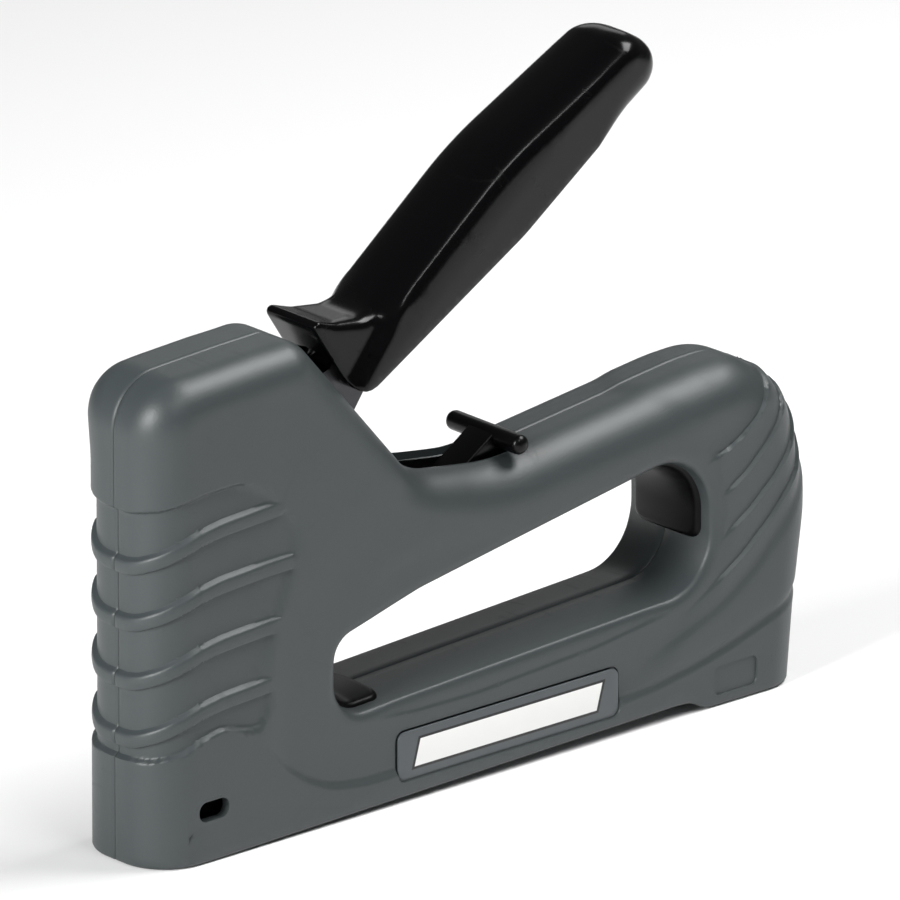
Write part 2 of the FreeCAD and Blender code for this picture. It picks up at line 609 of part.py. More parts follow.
CHANNEL_LENGTH = f"({CAP_X} - {MAGAZINE_FRONT} - 2*play)"
node("magazine_channel", cut(
    "magazine_channel",
    middle_box("channel_form", MAGAZINE_FRONT, "channel_bottom", CHANNEL_LENGTH,
               "2*channel_half", "channel_top - channel_bottom"),
    middle_box("channel_core", f"{MAGAZINE_FRONT} - 1", "channel_bottom - 1",
               f"{CHANNEL_LENGTH} + 2", "2*channel_half - 2*channel_plate",
               "channel_top - channel_plate - channel_bottom + 1")))
RAIL_BASE = "(tray_floor + tray_plate)"
RAIL_TOP = "(staple_top - staple_wire - play)"
rail = cut("rail",
           middle_box("rail_form", MAGAZINE_FRONT, RAIL_BASE, f"{CAP_X} - {MAGAZINE_FRONT}",
                      "2*rail_half", f"{RAIL_TOP} - {RAIL_BASE}"),
           middle_box("rail_core", f"{MAGAZINE_FRONT} + 4", f"{RAIL_BASE} + rail_wall",
                      f"{CAP_X} - {MAGAZINE_FRONT}", "2*rail_half - 2*rail_wall",
                      RAIL_TOP))
tray_rod_hole = rod("tray_rod_hole", "rod_radius", "4", f"{MAGAZINE_FRONT} + 1", "0",
                    "8", "X")
cap_rod_hole = rod("cap_rod_hole", "rod_radius", "4", CAP_X, "0", "8", "X")
button_way = middle_box("button_way", f"{CAP_X} + cap_length - 5", "4.6", "6", "8", "7.2")
cap = cut("cap_form",
          middle_box("cap_block", CAP_X, "tray_floor", "cap_length", "2*cap_half",
                     "channel_top - tray_floor - 0.4"),
          cap_rod_hole, button_way)
tray_floor = middle_box("tray_floor_plate", MAGAZINE_FRONT, "tray_floor",
                        f"{CAP_X} - {MAGAZINE_FRONT}", "2*cap_half", "tray_plate")
node("magazine_tray", cut("magazine_tray", fuse("tray_form", rail, tray_floor),
                          tray_rod_hole))
node("tray_end_cap", cap)
node("guide_rod", rod("guide_rod", "rod_radius", f"{CAP_X} + 4 - {MAGAZINE_FRONT} - 1",
                      f"{MAGAZINE_FRONT} + 1", "0", "8", "X"))
STRIP_BOTTOM = "(staple_top - staple_leg)"
node("staple_strip", cut(
    "staple_strip",
    middle_box("strip_form", MAGAZINE_FRONT, STRIP_BOTTOM, "strip_length", "crown_width",
               "staple_leg"),
    middle_box("strip_core", f"{MAGAZINE_FRONT} - 1", f"{STRIP_BOTTOM} - 1",
               "strip_length + 2", "crown_width - 2*staple_wire",
               "staple_leg + 1 - staple_wire")))
pusher_cap = cut("pusher_cap",
                 middle_box("pusher_form", PUSHER_X, f"{STRIP_BOTTOM} + 0.4",
                            "pusher_length", "crown_width", "staple_leg + 0.2"),
                 middle_box("pusher_core", f"{PUSHER_X} - 1", f"{STRIP_BOTTOM} - 1",
                            "pusher_length + 2", "2*rail_half + 2*play",
                            f"{RAIL_TOP} + play - {STRIP_BOTTOM} + 1"))
tongue = middle_box("pusher_tongue", PUSHER_X, f"{RAIL_BASE} + rail_wall + play",
                    "pusher_length", "2*rail_half - 2*rail_wall - 2*play",
                    f"{RAIL_TOP} + 2*play - {RAIL_BASE} - rail_wall - play")
node("staple_pusher", cut("staple_pusher", fuse("pusher_body", pusher_cap, tongue),
                          rod("pusher_bore", "rod_radius + run_gap", "pusher_length",
                              PUSHER_X, "0", "8", "X")))
spring_start = pusher_x + s.pusher_length + 0.6
node("pusher_spring", coil("pusher_spring", 2.4, 0.6, 22.0, cap_x - 0.6 - spring_start,
                           FreeCAD.Vector(spring_start, 0, 8), ALONG_X))
BUTTON_X = f"({CAP_X} + cap_length - 5 + button_travel + play)"
node("latch_button", middle_box("latch_button", BUTTON_X, "4.6 + play",
                                f"5 - button_travel - play + 1.2", "8 - 2*play",
                                "7.2 - 2*play"))


# ---------------------------------------------------------------- handle lock

arm_angle = math.atan2(s.lock_bar_rise, s.lock_bar_run)
across = FreeCAD.Vector(-math.sin(arm_angle), math.cos(arm_angle), 0)


def lock_corner(along, side, bend):
    """A corner of the lock's arm: along the arm as a share, then off its middle line."""
    return (lock_x + s.lock_bar_run * along + across.x * side,
            lock_pin_z + s.lock_bar_rise * along + across.y * side, bend)


lock_outline = [
    lock_corner(-0.15, -s.lock_hub, s.lock_hub * 0.9),
    lock_corner(0.75, -s.lock_hub, 3.0),
    lock_corner(1.05, -s.lock_bar_radius * 0.8, 1.2),
    lock_corner(1.05, s.lock_bar_radius * 0.8, 1.2),
    lock_corner(-0.15, s.lock_hub, s.lock_hub * 0.9),
]
bar = rod("lock_cross_bar", "lock_bar_radius", "lock_bar_length",
          f"{LOCK_X} + lock_bar_run", "-lock_bar_length/2", "lock_height + lock_bar_rise")
bar = round_edges("rounded_bar", bar, lambda e: e.Closed, s.lock_bar_radius * 0.6)
node("lock_bar", cut("lock_bar",
                     fuse("lock_form", prism("lock_arm", "XZ_Plane", lock_outline,
                                             "lock_width"), bar),
                     rod("lock_bore", "lock_pin_radius + run_gap", "body_width", LOCK_X,
                         "-body_width/2", "lock_height")))
node("lock_pin", rod("lock_pin", "lock_pin_radius", "body_width - 2*wall - play", LOCK_X,
                     "-(body_width - 2*wall - play)/2", "lock_height"))


# ---------------------------------------------------------------- check and write

doc.recompute()
for item in doc.Objects:
    if "Invalid" in item.State or "Error" in item.State:
        raise RuntimeError(f"{item.Label} failed: {item.State}")
for item in NODES:
    if item.Shape.isNull() or not item.Shape.isValid() or not item.Shape.Solids:
        raise RuntimeError(f"{item.Label} has no valid solid")

os.makedirs("parts", exist_ok=True)
for item in NODES:
    item.Shape.exportStep(f"parts/{item.Label}.step")
    print(item.Label, len(item.Shape.Solids), round(item.Shape.Volume, 1))
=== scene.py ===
import math

import bmesh
import bpy
import numpy as np
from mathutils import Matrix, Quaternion, Vector
from mathutils.geometry import delaunay_2d_cdt


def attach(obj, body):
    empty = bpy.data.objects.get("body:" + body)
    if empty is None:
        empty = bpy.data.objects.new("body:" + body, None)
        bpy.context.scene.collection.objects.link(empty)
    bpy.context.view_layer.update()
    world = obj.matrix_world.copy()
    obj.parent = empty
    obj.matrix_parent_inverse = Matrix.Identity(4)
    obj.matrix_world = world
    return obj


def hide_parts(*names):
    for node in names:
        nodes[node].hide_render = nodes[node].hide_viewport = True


# Hand staple gun. Shapes are worked out in millimetres: x from the nose, y from the seam, z up.
# placed() turns them into metres in the frame of the CAD, whose origin is under the middle.

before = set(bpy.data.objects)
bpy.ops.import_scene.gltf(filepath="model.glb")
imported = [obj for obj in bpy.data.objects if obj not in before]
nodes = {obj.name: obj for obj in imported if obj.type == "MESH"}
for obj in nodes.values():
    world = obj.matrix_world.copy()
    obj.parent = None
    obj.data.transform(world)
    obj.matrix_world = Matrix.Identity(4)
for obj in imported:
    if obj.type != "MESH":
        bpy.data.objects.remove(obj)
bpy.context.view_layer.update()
collection = bpy.context.scene.collection

MM = 0.001
NOSE_X = -94.25
HALF_WIDTH = 14.4
WALL = 2.2
SEAM_GAP = 0.04


# ------------------------------------------------------------------ paths and distances

class Path:
    """A run of straight lines and tangent arcs through (x, z, bend radius) corners."""

    def __init__(self, corners, closed=False, step=0.25):
        points = np.array([c[:2] for c in corners], float)
        runs = []
        for i, (x, z, bend) in enumerate(corners):
            end_of_open = not closed and i in (0, len(corners) - 1)
            if end_of_open or bend == 0:
                runs.append(np.array([[x, z]], float))
                continue
            before = points[i - 1] - points[i]
            after = points[(i + 1) % len(points)] - points[i]
            before /= np.linalg.norm(before)
            after /= np.linalg.norm(after)
            half = math.acos(float(np.clip(before @ after, -1, 1))) / 2
            centre = points[i] + (before + after) / np.linalg.norm(before + after) * bend / math.sin(half)
            a, b = (points[i] + v * bend / math.tan(half) - centre for v in (before, after))
            start = math.atan2(a[1], a[0])
            turn = (math.atan2(b[1], b[0]) - start + math.pi) % (2 * math.pi) - math.pi
            angles = start + turn * np.linspace(0, 1, max(6, int(abs(turn) * bend / step)))
            runs.append(centre + bend * np.column_stack([np.cos(angles), np.sin(angles)]))
        rough = np.vstack(runs + ([runs[0][:1]] if closed else []))
        s = np.concatenate([[0], np.cumsum(np.linalg.norm(np.diff(rough, axis=0), axis=1))])
        self.closed = closed
        self.length = s[-1]
        self.s = np.linspace(0, s[-1], int(s[-1] / step) + 1)
        self.points = np.column_stack([np.interp(self.s, s, rough[:, k]) for k in (0, 1)])
        if closed:
            ahead, back = np.roll(self.points[:-1], -1, axis=0), np.roll(self.points[:-1], 1, axis=0)
            along = np.vstack([ahead - back, (ahead - back)[:1]])
        else:
            along = np.gradient(self.points, axis=0)
        along /= np.linalg.norm(along, axis=1)[:, None]
        self.outward = np.column_stack([-along[:, 1], along[:, 0]])

    def at(self, s):
        s = np.mod(s, self.length) if self.closed else s
        return np.stack([np.interp(s, self.s, self.points[:, k]) for k in (0, 1)], axis=-1)

    def out(self, s):
        s = np.mod(s, self.length) if self.closed else s
        v = np.stack([np.interp(s, self.s, self.outward[:, k]) for k in (0, 1)], axis=-1)
        return v / np.linalg.norm(v, axis=-1)[..., None]

    def nearest(self, p):
        """Place along the path nearest to each point, and how far off it is."""
        p = np.asarray(p, float).reshape(-1, 2)
        places, gaps = np.empty(len(p)), np.empty(len(p))
        for k in range(0, len(p), 4000):
            part = p[k:k + 4000]
            first = ((part[:, None] - self.points[None]) ** 2).sum(2).argmin(1)
            best = np.full(len(part), np.inf)
            for shift in (-1, 0):
                a = np.clip(first + shift, 0, len(self.points) - 2)
                start, run = self.points[a], self.points[a + 1] - self.points[a]
                share = np.clip(((part - start) * run).sum(1) / (run ** 2).sum(1), 0, 1)
                gap = np.linalg.norm(part - start - run * share[:, None], axis=1)
                closer = gap < best
                best[closer] = gap[closer]
                places[k:k + 4000][closer] = (self.s[a] + share * (self.s[a + 1] - self.s[a]))[closer]
            gaps[k:k + 4000] = best
        return places, gaps

    def side(self, p):
        """Signed distance to the path: positive on its outward side, negative inside."""
        p = np.asarray(p, float).reshape(-1, 2)
        s, gap = self.nearest(p)
        lean = ((p - self.at(s)) * self.out(s)).sum(1)
        return np.where(lean < 0, -gap, gap)


def inside(p, polygon):
    """True for each point within a closed polygon."""
    x, z = np.asarray(p, float).reshape(-1, 2).T
    hit = np.zeros(len(x), bool)
    ends = np.roll(polygon, -1, axis=0)
    for (ax, az), (bx, bz) in zip(polygon, ends):
        if az == bz:
            continue
        crosses = (az > z) != (bz > z)
        hit ^= crosses & (x < (bx - ax) * (z - az) / (bz - az) + ax)
    return hit


def ease(value, start, end):
    """Smooth step from 0 at start to 1 at end."""
    t = np.clip((np.asarray(value, float) - start) / (end - start), 0, 1)
    return t * t * (3 - 2 * t)


def spaced(start, end, gap):
    return np.linspace(start, end, max(2, int(abs(end - start) / gap) + 2))


# ------------------------------------------------------------------ half skins of moulded shells

class HalfSkin:
    """One half of a moulded shell: a side outline whose edge rolls over onto the side face.

    roll(s) is how far in the edge reaches, flat(s) the half width of the flat next to the seam,
    half_width(x, z) where the side face lies, and start(s) where the skin begins.
    """
    END = math.radians(62)

    def __init__(self, path, roll, flat, half_width, start, power=2.0):
        self.path, self.roll, self.flat = path, roll, flat
        self.half_width, self.start, self.power = half_width, start, power

    def shape(self, turn):
        c = np.cos(turn) ** (2 / self.power)
        s = np.sin(turn) ** (2 / self.power)
        return c, s

    def normal(self, c, s, roll, drop, out):
        inward, lateral = c ** (self.power - 1) / roll, s ** (self.power - 1) / drop
        size = np.hypot(inward, lateral)
        flat = out * (inward / size)[..., None]
        return np.stack([flat[..., 0], lateral / size, flat[..., 1]], axis=-1)

    def rim(self, columns, rows, first_rows, shear=None):
        """Grid of points rolling from the seam onto the side face. Returns point, normal, unrolled."""
        s = np.asarray(columns, float)[:, None]
        base = self.path.at(s[:, 0])
        flat, start = self.flat(s), self.start(s)
        drop = self.half_width(base[:, 0], base[:, 1])[:, None] - flat
        begin = np.arcsin(np.clip((start - flat) / drop, 0, 0.85))
        level = np.maximum(0, flat - start)
        length = level + drop * (self.END - begin)
        first = np.asarray(first_rows)[None]
        rest = first[:, -1:] + (length - first[:, -1:]) * np.asarray(rows)[None]
        run = np.concatenate([np.repeat(first, len(s), axis=0), rest], axis=1)
        turn = np.where(run <= level, 0, begin + (run - level) / drop)
        turn = np.clip(turn, 0, self.END)
        y = np.where(run <= level, start + run, 0)
        if shear is not None:
            away = drop * (math.pi / 2 - turn) + np.where(turn == 0, np.maximum(flat - y, 0), 0)
            s = shear(s, self.roll(s) - away)
        s = s + np.zeros_like(run)
        roll, flat = self.roll(s), self.flat(s)
        c, lift = self.shape(turn)
        out = self.path.out(s)
        point = self.path.at(s) - out * (roll * (1 - c))[..., None]
        drop = self.half_width(point[..., 0], point[..., 1]) - flat
        y = np.where(turn > 0, flat + drop * lift, y)
        unrolled = self.path.at(s) + out * (
            drop * (math.pi / 2 - turn) - roll + np.where(turn == 0, np.maximum(flat - y, 0), 0))[..., None]
        place = np.stack([point[..., 0], y, point[..., 1]], axis=-1)
        return place, self.normal(c, lift, roll, drop, out), unrolled

    def face(self, p):
        """The same surface over points of the side view."""
        s, gap = self.path.nearest(p)
        roll, flat = self.roll(s), self.flat(s)
        drop = self.half_width(p[:, 0], p[:, 1]) - flat
        c = np.clip(1 - gap / roll, 0, 1)
        lift = (1 - c ** self.power) ** (1 / self.power)
        turn = np.arccos(np.clip(c ** (self.power / 2), 0, 1))
        out = self.path.out(s)
        near = (gap < roll)[:, None]
        unrolled = np.where(near, self.path.at(s) + out * (drop * (math.pi / 2 - turn) - roll)[:, None], p)
        place = np.column_stack([p[:, 0], flat + drop * lift, p[:, 1]])
        return place, self.normal(c, lift, roll, drop, out), unrolled


def thinned(points, kept, gap):
    """Points that stay at least gap away from the kept ones and from each other."""
    cells = {}

    def cell(p):
        return int(p[0] // gap), int(p[1] // gap)

    for p in kept:
        cells.setdefault(cell(p), []).append(p)
    out = []
    for p in points:
        i, j = cell(p)
        close = (q for a in (i - 1, i, i + 1) for b in (j - 1, j, j + 1) for q in cells.get((a, b), ()))
        if all((p[0] - q[0]) ** 2 + (p[1] - q[1]) ** 2 >= gap * gap for q in close):
            out.append(p)
            cells.setdefault((i, j), []).append(p)
    return np.array(out).reshape(-1, 2)


def filled(border, holes, groups):
    """Triangles over the area inside border and outside holes. groups are (points, spacing) pairs."""
    border, *holes = [np.float32(loop).astype(float) for loop in [border] + list(holes)]
    loops = [border] + holes
    points = np.vstack(loops)
    guard = []
    for loop in loops:
        ahead = np.roll(loop, -1, axis=0)
        steps = max(2, int(np.linalg.norm(ahead - loop, axis=1).max() / 0.2))
        guard += [loop + (ahead - loop) * k / steps for k in range(steps)]
    guard = np.vstack(guard)
    edges, at = [], 0
    for loop in loops:
        n = len(loop)
        edges += [(at + i, at + (i + 1) % n) for i in range(n)]
        at += n
    for group, gap in groups:
        group = group[inside(group, border)]
        for hole in holes:
            group = group[~inside(group, hole)]
        group = np.float32(thinned(group, np.vstack([points, guard]), gap)).astype(float)
        points = np.vstack([points, group])
    flat = [Vector((float(x), float(z))) for x, z in points]
    out_points, _, faces, origins, _, _ = delaunay_2d_cdt(flat, edges, [], 0, 1e-6)
    back = [o[0] if o else -1 for o in origins]
    extra = [i for i, o in enumerate(back) if o < 0]
    for i in extra:
        back[i] = len(points)
        points = np.vstack([points, [out_points[i].x, out_points[i].y]])
    faces = np.array([[back[v] for v in f] for f in faces if len({back[v] for v in f}) == 3])
    middles = points[faces].mean(axis=1)
    keep = inside(middles, border)
    for hole in holes:
        keep &= ~inside(middles, hole)
    return points, faces[keep]


def grid_faces(first, columns, rows, closed=False):
    """Quads over a grid of vertices numbered column by column."""
    ids = first + np.arange(columns * rows).reshape(columns, rows)
    ahead = np.roll(ids, -1, axis=0)
    last = columns if closed else columns - 1
    return np.stack([ids[:last, :-1], ids[:last, 1:], ahead[:last, 1:], ahead[:last, :-1]], -1).reshape(-1, 4)


def placed(points):
    """Millimetres from the nose to metres in the frame."""
    p = np.asarray(points, float) + [NOSE_X, 0, 0]
    return p * MM


def mesh_object(name, points, faces, sharp=38):
    """Object at the origin with smooth faces and sharp edges where they fold."""
    mesh = bpy.data.meshes.new(name)
    mesh.from_pydata([tuple(p) for p in placed(points)], [], [tuple(int(i) for i in f) for f in faces])
    bm = bmesh.new()
    bm.from_mesh(mesh)
    loose = [v for v in bm.verts if not v.link_faces]
    bmesh.ops.delete(bm, geom=loose, context="VERTS")
    bmesh.ops.recalc_face_normals(bm, faces=bm.faces)
    if bm.calc_volume(signed=True) < 0:
        bmesh.ops.reverse_faces(bm, faces=bm.faces)
    bm.to_mesh(mesh)
    bm.free()
    mesh.shade_smooth()
    mesh.set_sharp_from_angle(angle=math.radians(sharp))
    thing = bpy.data.objects.new(name, mesh)
    collection.objects.link(thing)
    return thing


def border_edges(faces):
    """Directed edges that only one face uses."""
    seen = {}
    for f in faces:
        f = [int(i) for i in f]
        for a, b in zip(f, f[1:] + f[:1]):
            seen[(a, b)] = seen.get((a, b), 0) + 1
    return [(a, b) for (a, b) in seen if (b, a) not in seen]


# ------------------------------------------------------------------ body shells

BODY_TOP = [
    (0, 0, 0), (0, 107.3, 12), (43.5, 109.4, 8), (76, 71.5, 14), (100, 68.2, 45), (158, 75.2, 60),
    (182, 76, 22), (188.5, 46.5, 40), (188.5, 37.5, 40), (185.6, 17, 40), (184, 0, 0)]
HAND_OPENING = [(50.6, 22.3, 8), (157.6, 27.3, 13), (157.6, 60.5, 14), (75, 46.6, 40), (50.6, 40.3, 6)]
UNDERSIDE = np.array([[0, 0], [16, 0], [60, 0.9], [110, 1.9], [147, 2.6], [151, 2.4], [154.5, 0.5],
                      [156.5, 0], [184, 0]], float)
WINDOW = [(11.4, 9.3, 2.1), (19.8, 9.3, 2.1), (19.8, 13.8, 2.1), (11.4, 13.8, 2.1)]
THROAT_SLOT = (50.5, 111.0)      # from the nose, where the top is open for the lever and the lock
SLOT_HALF = 6.0
MAGAZINE_HALF = 7.5
MAGAZINE_FRONT = 4.45
MAGAZINE_EXIT = 16.3
OPENING_DRAFT = 1.5
BEVEL_START = 12.2
BEVEL_REACH = 2.6

RIB_TOPS = (68.5, 55.8, 42.6, 29.6)
RIB_ENDS = (35.0, 38.0, 34.0, 32.0)
RIB_HIGH = 3.4
RIB_PROUD = 1.2
SIDE_IN = 0.25                   # how far the plain side face lies under the proudest parts
BASE_STEP = 0.65
RING_DEEP = 0.35

top_path = Path(BODY_TOP)
opening_path = Path(HAND_OPENING, closed=True)
slot_from, _ = top_path.nearest([(THROAT_SLOT[0], 98.0)])
slot_to, _ = top_path.nearest([(THROAT_SLOT[1], 69.5)])
exit_from, _ = top_path.nearest([(185.4, MAGAZINE_EXIT)])
grip_from, _ = top_path.nearest([(92, 69)])
heel_from, _ = top_path.nearest([(176, 75)])


def rib_rise(x):
    """How far a rib has climbed at the unrolled distance x."""
    knots = [(-12, 0), (-6.6, 0), (-3, 0.5), (2.5, 2.4), (7, 4.3),
             (11.5, 5.8), (18, 6.9), (31, 7.7), (45, 8.0)]
    fine = np.linspace(-14, 50, 257)
    line = np.interp(fine, *zip(*knots))
    soft = np.convolve(np.pad(line, 8, mode="edge"), np.hanning(17) / np.hanning(17).sum(), "valid")
    return np.interp(x, fine, soft)


def rib_share(s):
    """Share of the climb that the rows of the mesh follow, by height on the nose."""
    return ease(s, 6, 21) * (1 - ease(s, 85, 106)) * (s < 110)


def body_roll(s):
    front = np.interp(s, [0, 88, 104, 118], [11.5, 11.5, 9.0, 8.0])
    back = np.interp(s, [grip_from[0] - 22, grip_from[0], heel_from[0], heel_from[0] + 25, top_path.length],
                     [8.0, 10.4, 10.8, 10.0, 10.0])
    return np.where(s < 130, front, back)


def body_flat(s):
    return HALF_WIDTH - body_roll(s)


def body_start(s):
    slot = SLOT_HALF * np.sqrt(np.clip(1 - np.clip(1 - (slot_to - s) / 5.0, 0, 1) ** 2, 0, 1)) \
        * (s >= slot_from) * (s <= slot_to)
    rear_exit = MAGAZINE_HALF * (s >= exit_from)
    return np.maximum(np.maximum(slot, rear_exit), SEAM_GAP)


def underside(x):
    """Height of the bottom edge, with its corners eased."""
    fine = np.linspace(-2, 190, 769)
    line = np.interp(fine, UNDERSIDE[:, 0], UNDERSIDE[:, 1])
    soft = np.convolve(np.pad(line, 4, mode="edge"), np.hanning(9) / np.hanning(9).sum(), "valid")
    return np.interp(x, fine, soft)


NOSE_PANEL = Path([
    (-14, 79.2, 0), (-6, 79.2, 6), (3, 80.5, 10), (12, 82.6, 12), (24, 83.0, 8), (31, 79.5, 6),
    (36, 74.5, 8), (40.8, 69.5, 5), (38.8, 60, 20), (34.2, 49, 20), (31.3, 40.4, 10), (32.8, 32, 8),
    (29.5, 25.2, 4), (25, 26.9, 8), (18.5, 29.0, 8), (12.2, 27.6, 8), (8, 25.6, 8), (0, 23.9, 8),
    (-14, 23.6, 0)], closed=True)
BASE_RIDGE = Path([
    (26, 26.2, 0), (32, 20.4, 10), (36.4, 15.6, 10), (42, 11.6, 12), (49, 8.4, 20), (58, 7.2, 30),
    (100, 6.9, 100), (131.4, 7.8, 60), (141.3, 8.6, 60), (152.6, 10.4, 60), (164, 13.2, 60),
    (174, 16.4, 60), (186, 20.5, 30), (204, 22.5, 0)])
RING_EDGE = Path([
    (52.5, 22.4, 0), (56, 20.9, 8), (73.3, 19.6, 60), (90.2, 19.4, 60), (124.3, 21.5, 80), (147, 24.5, 30),
    (155.5, 28.5, 12), (160.6, 38.5, 20), (161.4, 50, 30), (157, 60, 0)])
TERRACES = [
    Path([(150, 53.2, 0), (157, 56, 20), (164, 58.5, 20), (170, 62.6, 20), (177, 70.5, 30), (187, 85, 40),
          (200, 105, 0)]),
    Path([(154.5, 44.6, 0), (161.7, 48.0, 20), (166.8, 50.9, 20), (172.5, 55.8, 20), (180, 64.5, 30),
          (192, 81, 40), (206, 101, 0)]),
    Path([(155.5, 34.6, 0), (162.9, 39.3, 20), (168, 42.4, 20), (174.5, 47.7, 20), (182, 56, 30),
          (195, 74, 40), (208, 94, 0)]),
    Path([(150.5, 23.2, 0), (158.6, 28.1, 20), (166, 32.6, 20), (174.3, 39.4, 20), (183, 49, 30),
          (196, 67, 40), (210, 88, 0)]),
    Path([(128, 13.5, 0), (146, 17.5, 40), (160, 22.4, 30), (169.6, 28.6, 20), (178, 36.5, 20),
          (187, 47.5, 30), (199, 63, 40), (212, 82, 0)]),
]
TERRACE_START = Path([(129, 95, 0), (154.5, 57.5, 20), (159.5, 49, 20), (161, 40, 20), (157, 28.6, 20),
                      (136, 12, 20), (120, 6, 0)])
TERRACE_DEEP = 0.75
LABEL = (67.2, 4.35, 130.8, 16.05, 2.4)
SCREWS = np.array([(37.5, 101.9), (43.8, 50.3), (42.8, 22.0), (125.6, 64.5), (174.5, 56.0), (174.5, 25.0)])
SCREW_WAY = 3.1                  # radius of the hole that a screw head sits in
SCREW_SEATS = np.array([11.3, 11.3, 11.3, 9.6, 11.3, 11.3])     # distance from the seam to each seat
HEEL_PANEL = (157.6, 2.3, 170.0, 9.1, 1.6)
RECESS_DEEP = 0.55
HEEL_PANEL_DEEP = 0.45


def from_rectangle(p, low_x, low_z, high_x, high_z, bend):
    """Signed distance to a rectangle with round corners, negative inside."""
    middle = np.array([(low_x + high_x) / 2, (low_z + high_z) / 2])
    half = np.array([(high_x - low_x) / 2, (high_z - low_z) / 2]) - bend
    over = np.abs(p - middle) - half
    return np.linalg.norm(np.maximum(over, 0), axis=1) + np.minimum(over.max(axis=1), 0) - bend


def rectangle_loop(low_x, low_z, high_x, high_z, bend, grow=0.0, gap=1.0):
    corners = [(low_x - grow, low_z - grow), (high_x + grow, low_z - grow),
               (high_x + grow, high_z + grow), (low_x - grow, high_z + grow)]
    path = Path([(x, z, bend + grow) for x, z in corners], closed=True)
    count = int(2 * (high_x - low_x + high_z - low_z) / gap)
    return path.at(np.linspace(0, path.length, count, endpoint=False))


def screw_gap(p):
    """Distance from each point to the nearest screw, and the height of the seat of that screw."""
    gaps = np.array([np.hypot(*(p - place).T) for place in SCREWS])
    return gaps.min(axis=0), SCREW_SEATS[gaps.argmin(axis=0)]


def body_relief(p):
    """How far the surface lies under the plain form at each unrolled point of the side."""
    p = np.asarray(p, float).reshape(-1, 2)
    x, z = p.T
    # lower block and head stand at full width, the side face a little under it
    above_base = BASE_RIDGE.side(p)
    over = ease(above_base, -0.9, 0.9) * ease(x, 28, 38)
    side_drop = SIDE_IN * ease(x, 30, 52) * (1 - ease(z - 0.55 * x, 24, 40)) * ease(above_base, -1, 1)
    relief = side_drop + BASE_STEP * over * (1 - ease(above_base, 6, 24) * 0.7)
    # recessed nose panel with its ribs
    panel = -NOSE_PANEL.side(p)
    recess = ease(panel, -0.35, 0.6 + 1.2 * ease(x, 20, 31)) * (1 - 0.25 * ease(x, 24, 32))
    climb = rib_rise(x)
    proud = np.zeros(len(x))
    for top, end in zip(RIB_TOPS, RIB_ENDS):
        v = z - climb - top
        middle = v + RIB_HIGH / 2
        run_out = np.hypot(np.maximum(x - end + 1.2, 0), middle) - RIB_HIGH / 2
        shape = ease(v, 0.5, -0.5) * ease(v, -RIB_HIGH - 0.15, -RIB_HIGH + 0.2)
        shape *= 0.80 + 0.20 * np.clip(1 - (middle / (RIB_HIGH / 2)) ** 2, 0, 1)
        shape *= np.where(x > end - 1.2, ease(run_out, 0.6, -0.3), 1)
        proud = np.maximum(proud, shape)
    relief = np.maximum(relief * (1 - recess), recess * RIB_PROUD * (1 - proud))
    # band around the hand opening
    ring = RING_EDGE.side(p)
    from_opening = opening_path.nearest(p)[1]
    on_ring = ease(ring, -0.45, 0.45) * (from_opening < 9) * ease(x, 58, 70) * (1 - ease(z, 52, 59))
    relief += RING_DEEP * on_ring
    # slanting steps that wrap round the heel
    weight = ease(TERRACE_START.side(p), -1.0, 5.0) * (x > 118)
    steps = np.zeros(len(x))
    near = weight > 0
    if near.any():
        sides = [-t.side(p[near]) for t in TERRACES]
        part = TERRACE_DEEP * ease(sides[0], -13, 0) * (sides[0] < 0)
        for k, gap in enumerate(sides):
            after = sides[k + 1] if k + 1 < len(sides) else gap - 22
            share = np.clip(gap / np.maximum(gap - after, 0.1), 0, 1)
            deep = TERRACE_DEEP if k + 1 < len(sides) else 0.0
            ledge = 0.3 if k < 4 else 1.5
            held = (part * (gap < 0)) + (gap >= 0) * deep * share ** 1.15
            lip = ease(gap, -ledge, ledge)
            before = np.where(gap < ledge, part, TERRACE_DEEP)
            part = np.where(np.abs(gap) < ledge, before * (1 - lip) + lip * deep * np.clip(share, 0, 1), held)
        steps[near] = part
    clear_of_base = ease(above_base, -1, 3)
    relief *= 1 - weight * clear_of_base
    relief += steps * weight * clear_of_base * (1 - on_ring)
    # label recess, heel panel, and the notch in front of the window
    ledge = 0.14
    relief += RECESS_DEEP * np.clip(-from_rectangle(p, *LABEL) / ledge, 0, 1) * (relief < 3)
    relief += HEEL_PANEL_DEEP * np.clip(-from_rectangle(p, *HEEL_PANEL) / ledge, 0, 1)
    notch = (z < 9.9 + (x - 8.7) * 0.05) & (x < 12.5) & (x > 8.6 + 0.5 * np.clip((4.7 - z) / 2.4, 0, 1))
    relief += 0.6 * notch * (1 - ease(x, 9.2, 12.3)) * (z > 2.2 + (x - 9.8) * 0.2)
    return relief


def body_half_width(x, z):
    return np.full(np.shape(x), HALF_WIDTH)


